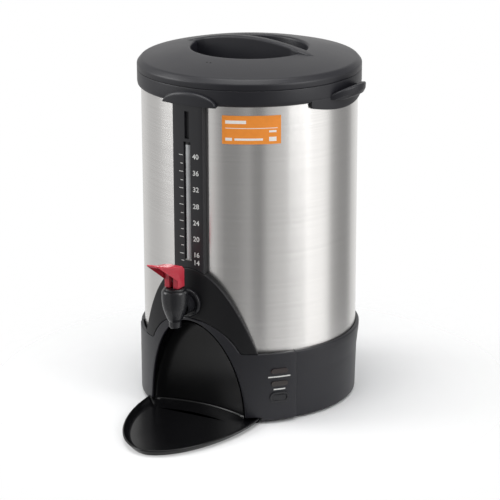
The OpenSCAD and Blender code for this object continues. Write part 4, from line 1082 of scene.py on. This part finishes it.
def add_world():
    """White behind the object, soft light on it, and the room's bands in what is glossy."""
    world = bpy.data.worlds.new("studio")
    bpy.context.scene.world = world
    world.use_nodes = True
    nodes, links = world.node_tree.nodes, world.node_tree.links
    nodes.clear()

    def calc(kind, *values):
        node = nodes.new("ShaderNodeMath")
        node.operation = kind
        for i, value in enumerate(values):
            if isinstance(value, (int, float)):
                node.inputs[i].default_value = value
            else:
                links.new(value, node.inputs[i])
        return node.outputs["Value"]

    def mixed(factor, first, second):
        node = nodes.new("ShaderNodeMixShader")
        links.new(factor, node.inputs["Fac"])
        links.new(first, node.inputs[1])
        links.new(second, node.inputs[2])
        return node.outputs["Shader"]

    def background(color, level):
        node = nodes.new("ShaderNodeBackground")
        node.inputs["Strength"].default_value = level
        if isinstance(color, tuple):
            node.inputs["Color"].default_value = color
        else:
            links.new(color, node.inputs["Color"])
        return node.outputs["Background"]

    way = nodes.new("ShaderNodeTexCoord")
    parts = nodes.new("ShaderNodeSeparateXYZ")
    links.new(way.outputs["Generated"], parts.inputs["Vector"])
    x, y = parts.outputs["X"], parts.outputs["Y"]
    turned_x = calc("SUBTRACT", calc("MULTIPLY", x, cos(CAMERA_SIDE)), calc("MULTIPLY", y, -sin(CAMERA_SIDE)))
    turned_y = calc("SUBTRACT", calc("MULTIPLY", x, sin(CAMERA_SIDE)), calc("MULTIPLY", y, cos(CAMERA_SIDE)))
    share = calc("ADD", calc("MULTIPLY", calc("ARCTAN2", turned_x, turned_y), 0.5 / pi), 0.5)
    room = nodes.new("ShaderNodeValToRGB")
    room.color_ramp.interpolation = "EASE"
    while len(room.color_ramp.elements) < len(ROOM):
        room.color_ramp.elements.new(0.5)
    # the ramp sorts its elements as they move, so the places come before the levels
    for element, (angle, _) in zip(room.color_ramp.elements, ROOM):
        element.position = (angle + 180) / 360
    for element, (_, level) in zip(room.color_ramp.elements, ROOM):
        element.color = (*[level * c for c in WARM], 1)
    links.new(share, room.inputs["Fac"])
    path = nodes.new("ShaderNodeLightPath")
    lit = mixed(path.outputs["Is Glossy Ray"], background(SOFT_COLOR, SOFT_LEVEL),
                background(room.outputs["Color"], ROOM_LEVEL))
    shown = mixed(path.outputs["Is Camera Ray"], lit, background((1, 1, 1, 1), 1.0))
    out = nodes.new("ShaderNodeOutputWorld")
    links.new(shown, out.inputs["Surface"])


def lamp_at(name, place, aim_z, width, height, power):
    """A rectangular lamp aimed at a height on the object's axis."""
    data = bpy.data.lights.new(name, "AREA")
    data.shape = "RECTANGLE"
    data.size = width
    data.size_y = height
    data.energy = power
    obj = bpy.data.objects.new(name, data)
    obj.location = place
    aim = Vector((0, 0, aim_z)) - Vector(place)
    obj.rotation_euler = aim.to_track_quat("-Z", "Y").to_euler()
    bpy.context.scene.collection.objects.link(obj)


add_floor()
add_world()
lamp_at("key", (-1.5, -0.9, 1.0), 0.18, 0.9, 1.4, 22)
lamp_at("fill", (1.7, -0.2, 0.9), 0.18, 0.8, 1.4, 16)
lamp_at("top", (0.1, -0.3, 1.9), 0.2, 1.2, 1.2, 20)

scene = bpy.context.scene
scene.view_settings.view_transform = "Standard"


# ---------- camera ----------

CAMERA_UP, CAMERA_ROLL, CAMERA_DIST = radians(17.41), radians(-0.18), 2.245
LOOK_AT = Vector((0, 0, 0.1448))
LENS, SENSOR = 159.2, 36

back = Vector((sin(CAMERA_SIDE) * cos(CAMERA_UP), -cos(CAMERA_SIDE) * cos(CAMERA_UP), sin(CAMERA_UP)))
side_way = Vector((cos(CAMERA_SIDE), sin(CAMERA_SIDE), 0))
up = back.cross(side_way)
right = cos(CAMERA_ROLL) * side_way + sin(CAMERA_ROLL) * up
above = -sin(CAMERA_ROLL) * side_way + cos(CAMERA_ROLL) * up
cam = bpy.data.cameras.new("camera")
cam.lens = LENS
cam.sensor_width = SENSOR
cam.clip_start = 0.05
cam_obj = bpy.data.objects.new("camera", cam)
cam_obj.matrix_world = Matrix(((right.x, above.x, back.x, 0), (right.y, above.y, back.y, 0),
                               (right.z, above.z, back.z, 0), (0, 0, 0, 1)))
cam_obj.location = LOOK_AT + back * CAMERA_DIST
scene.collection.objects.link(cam_obj)
scene.camera = cam_obj
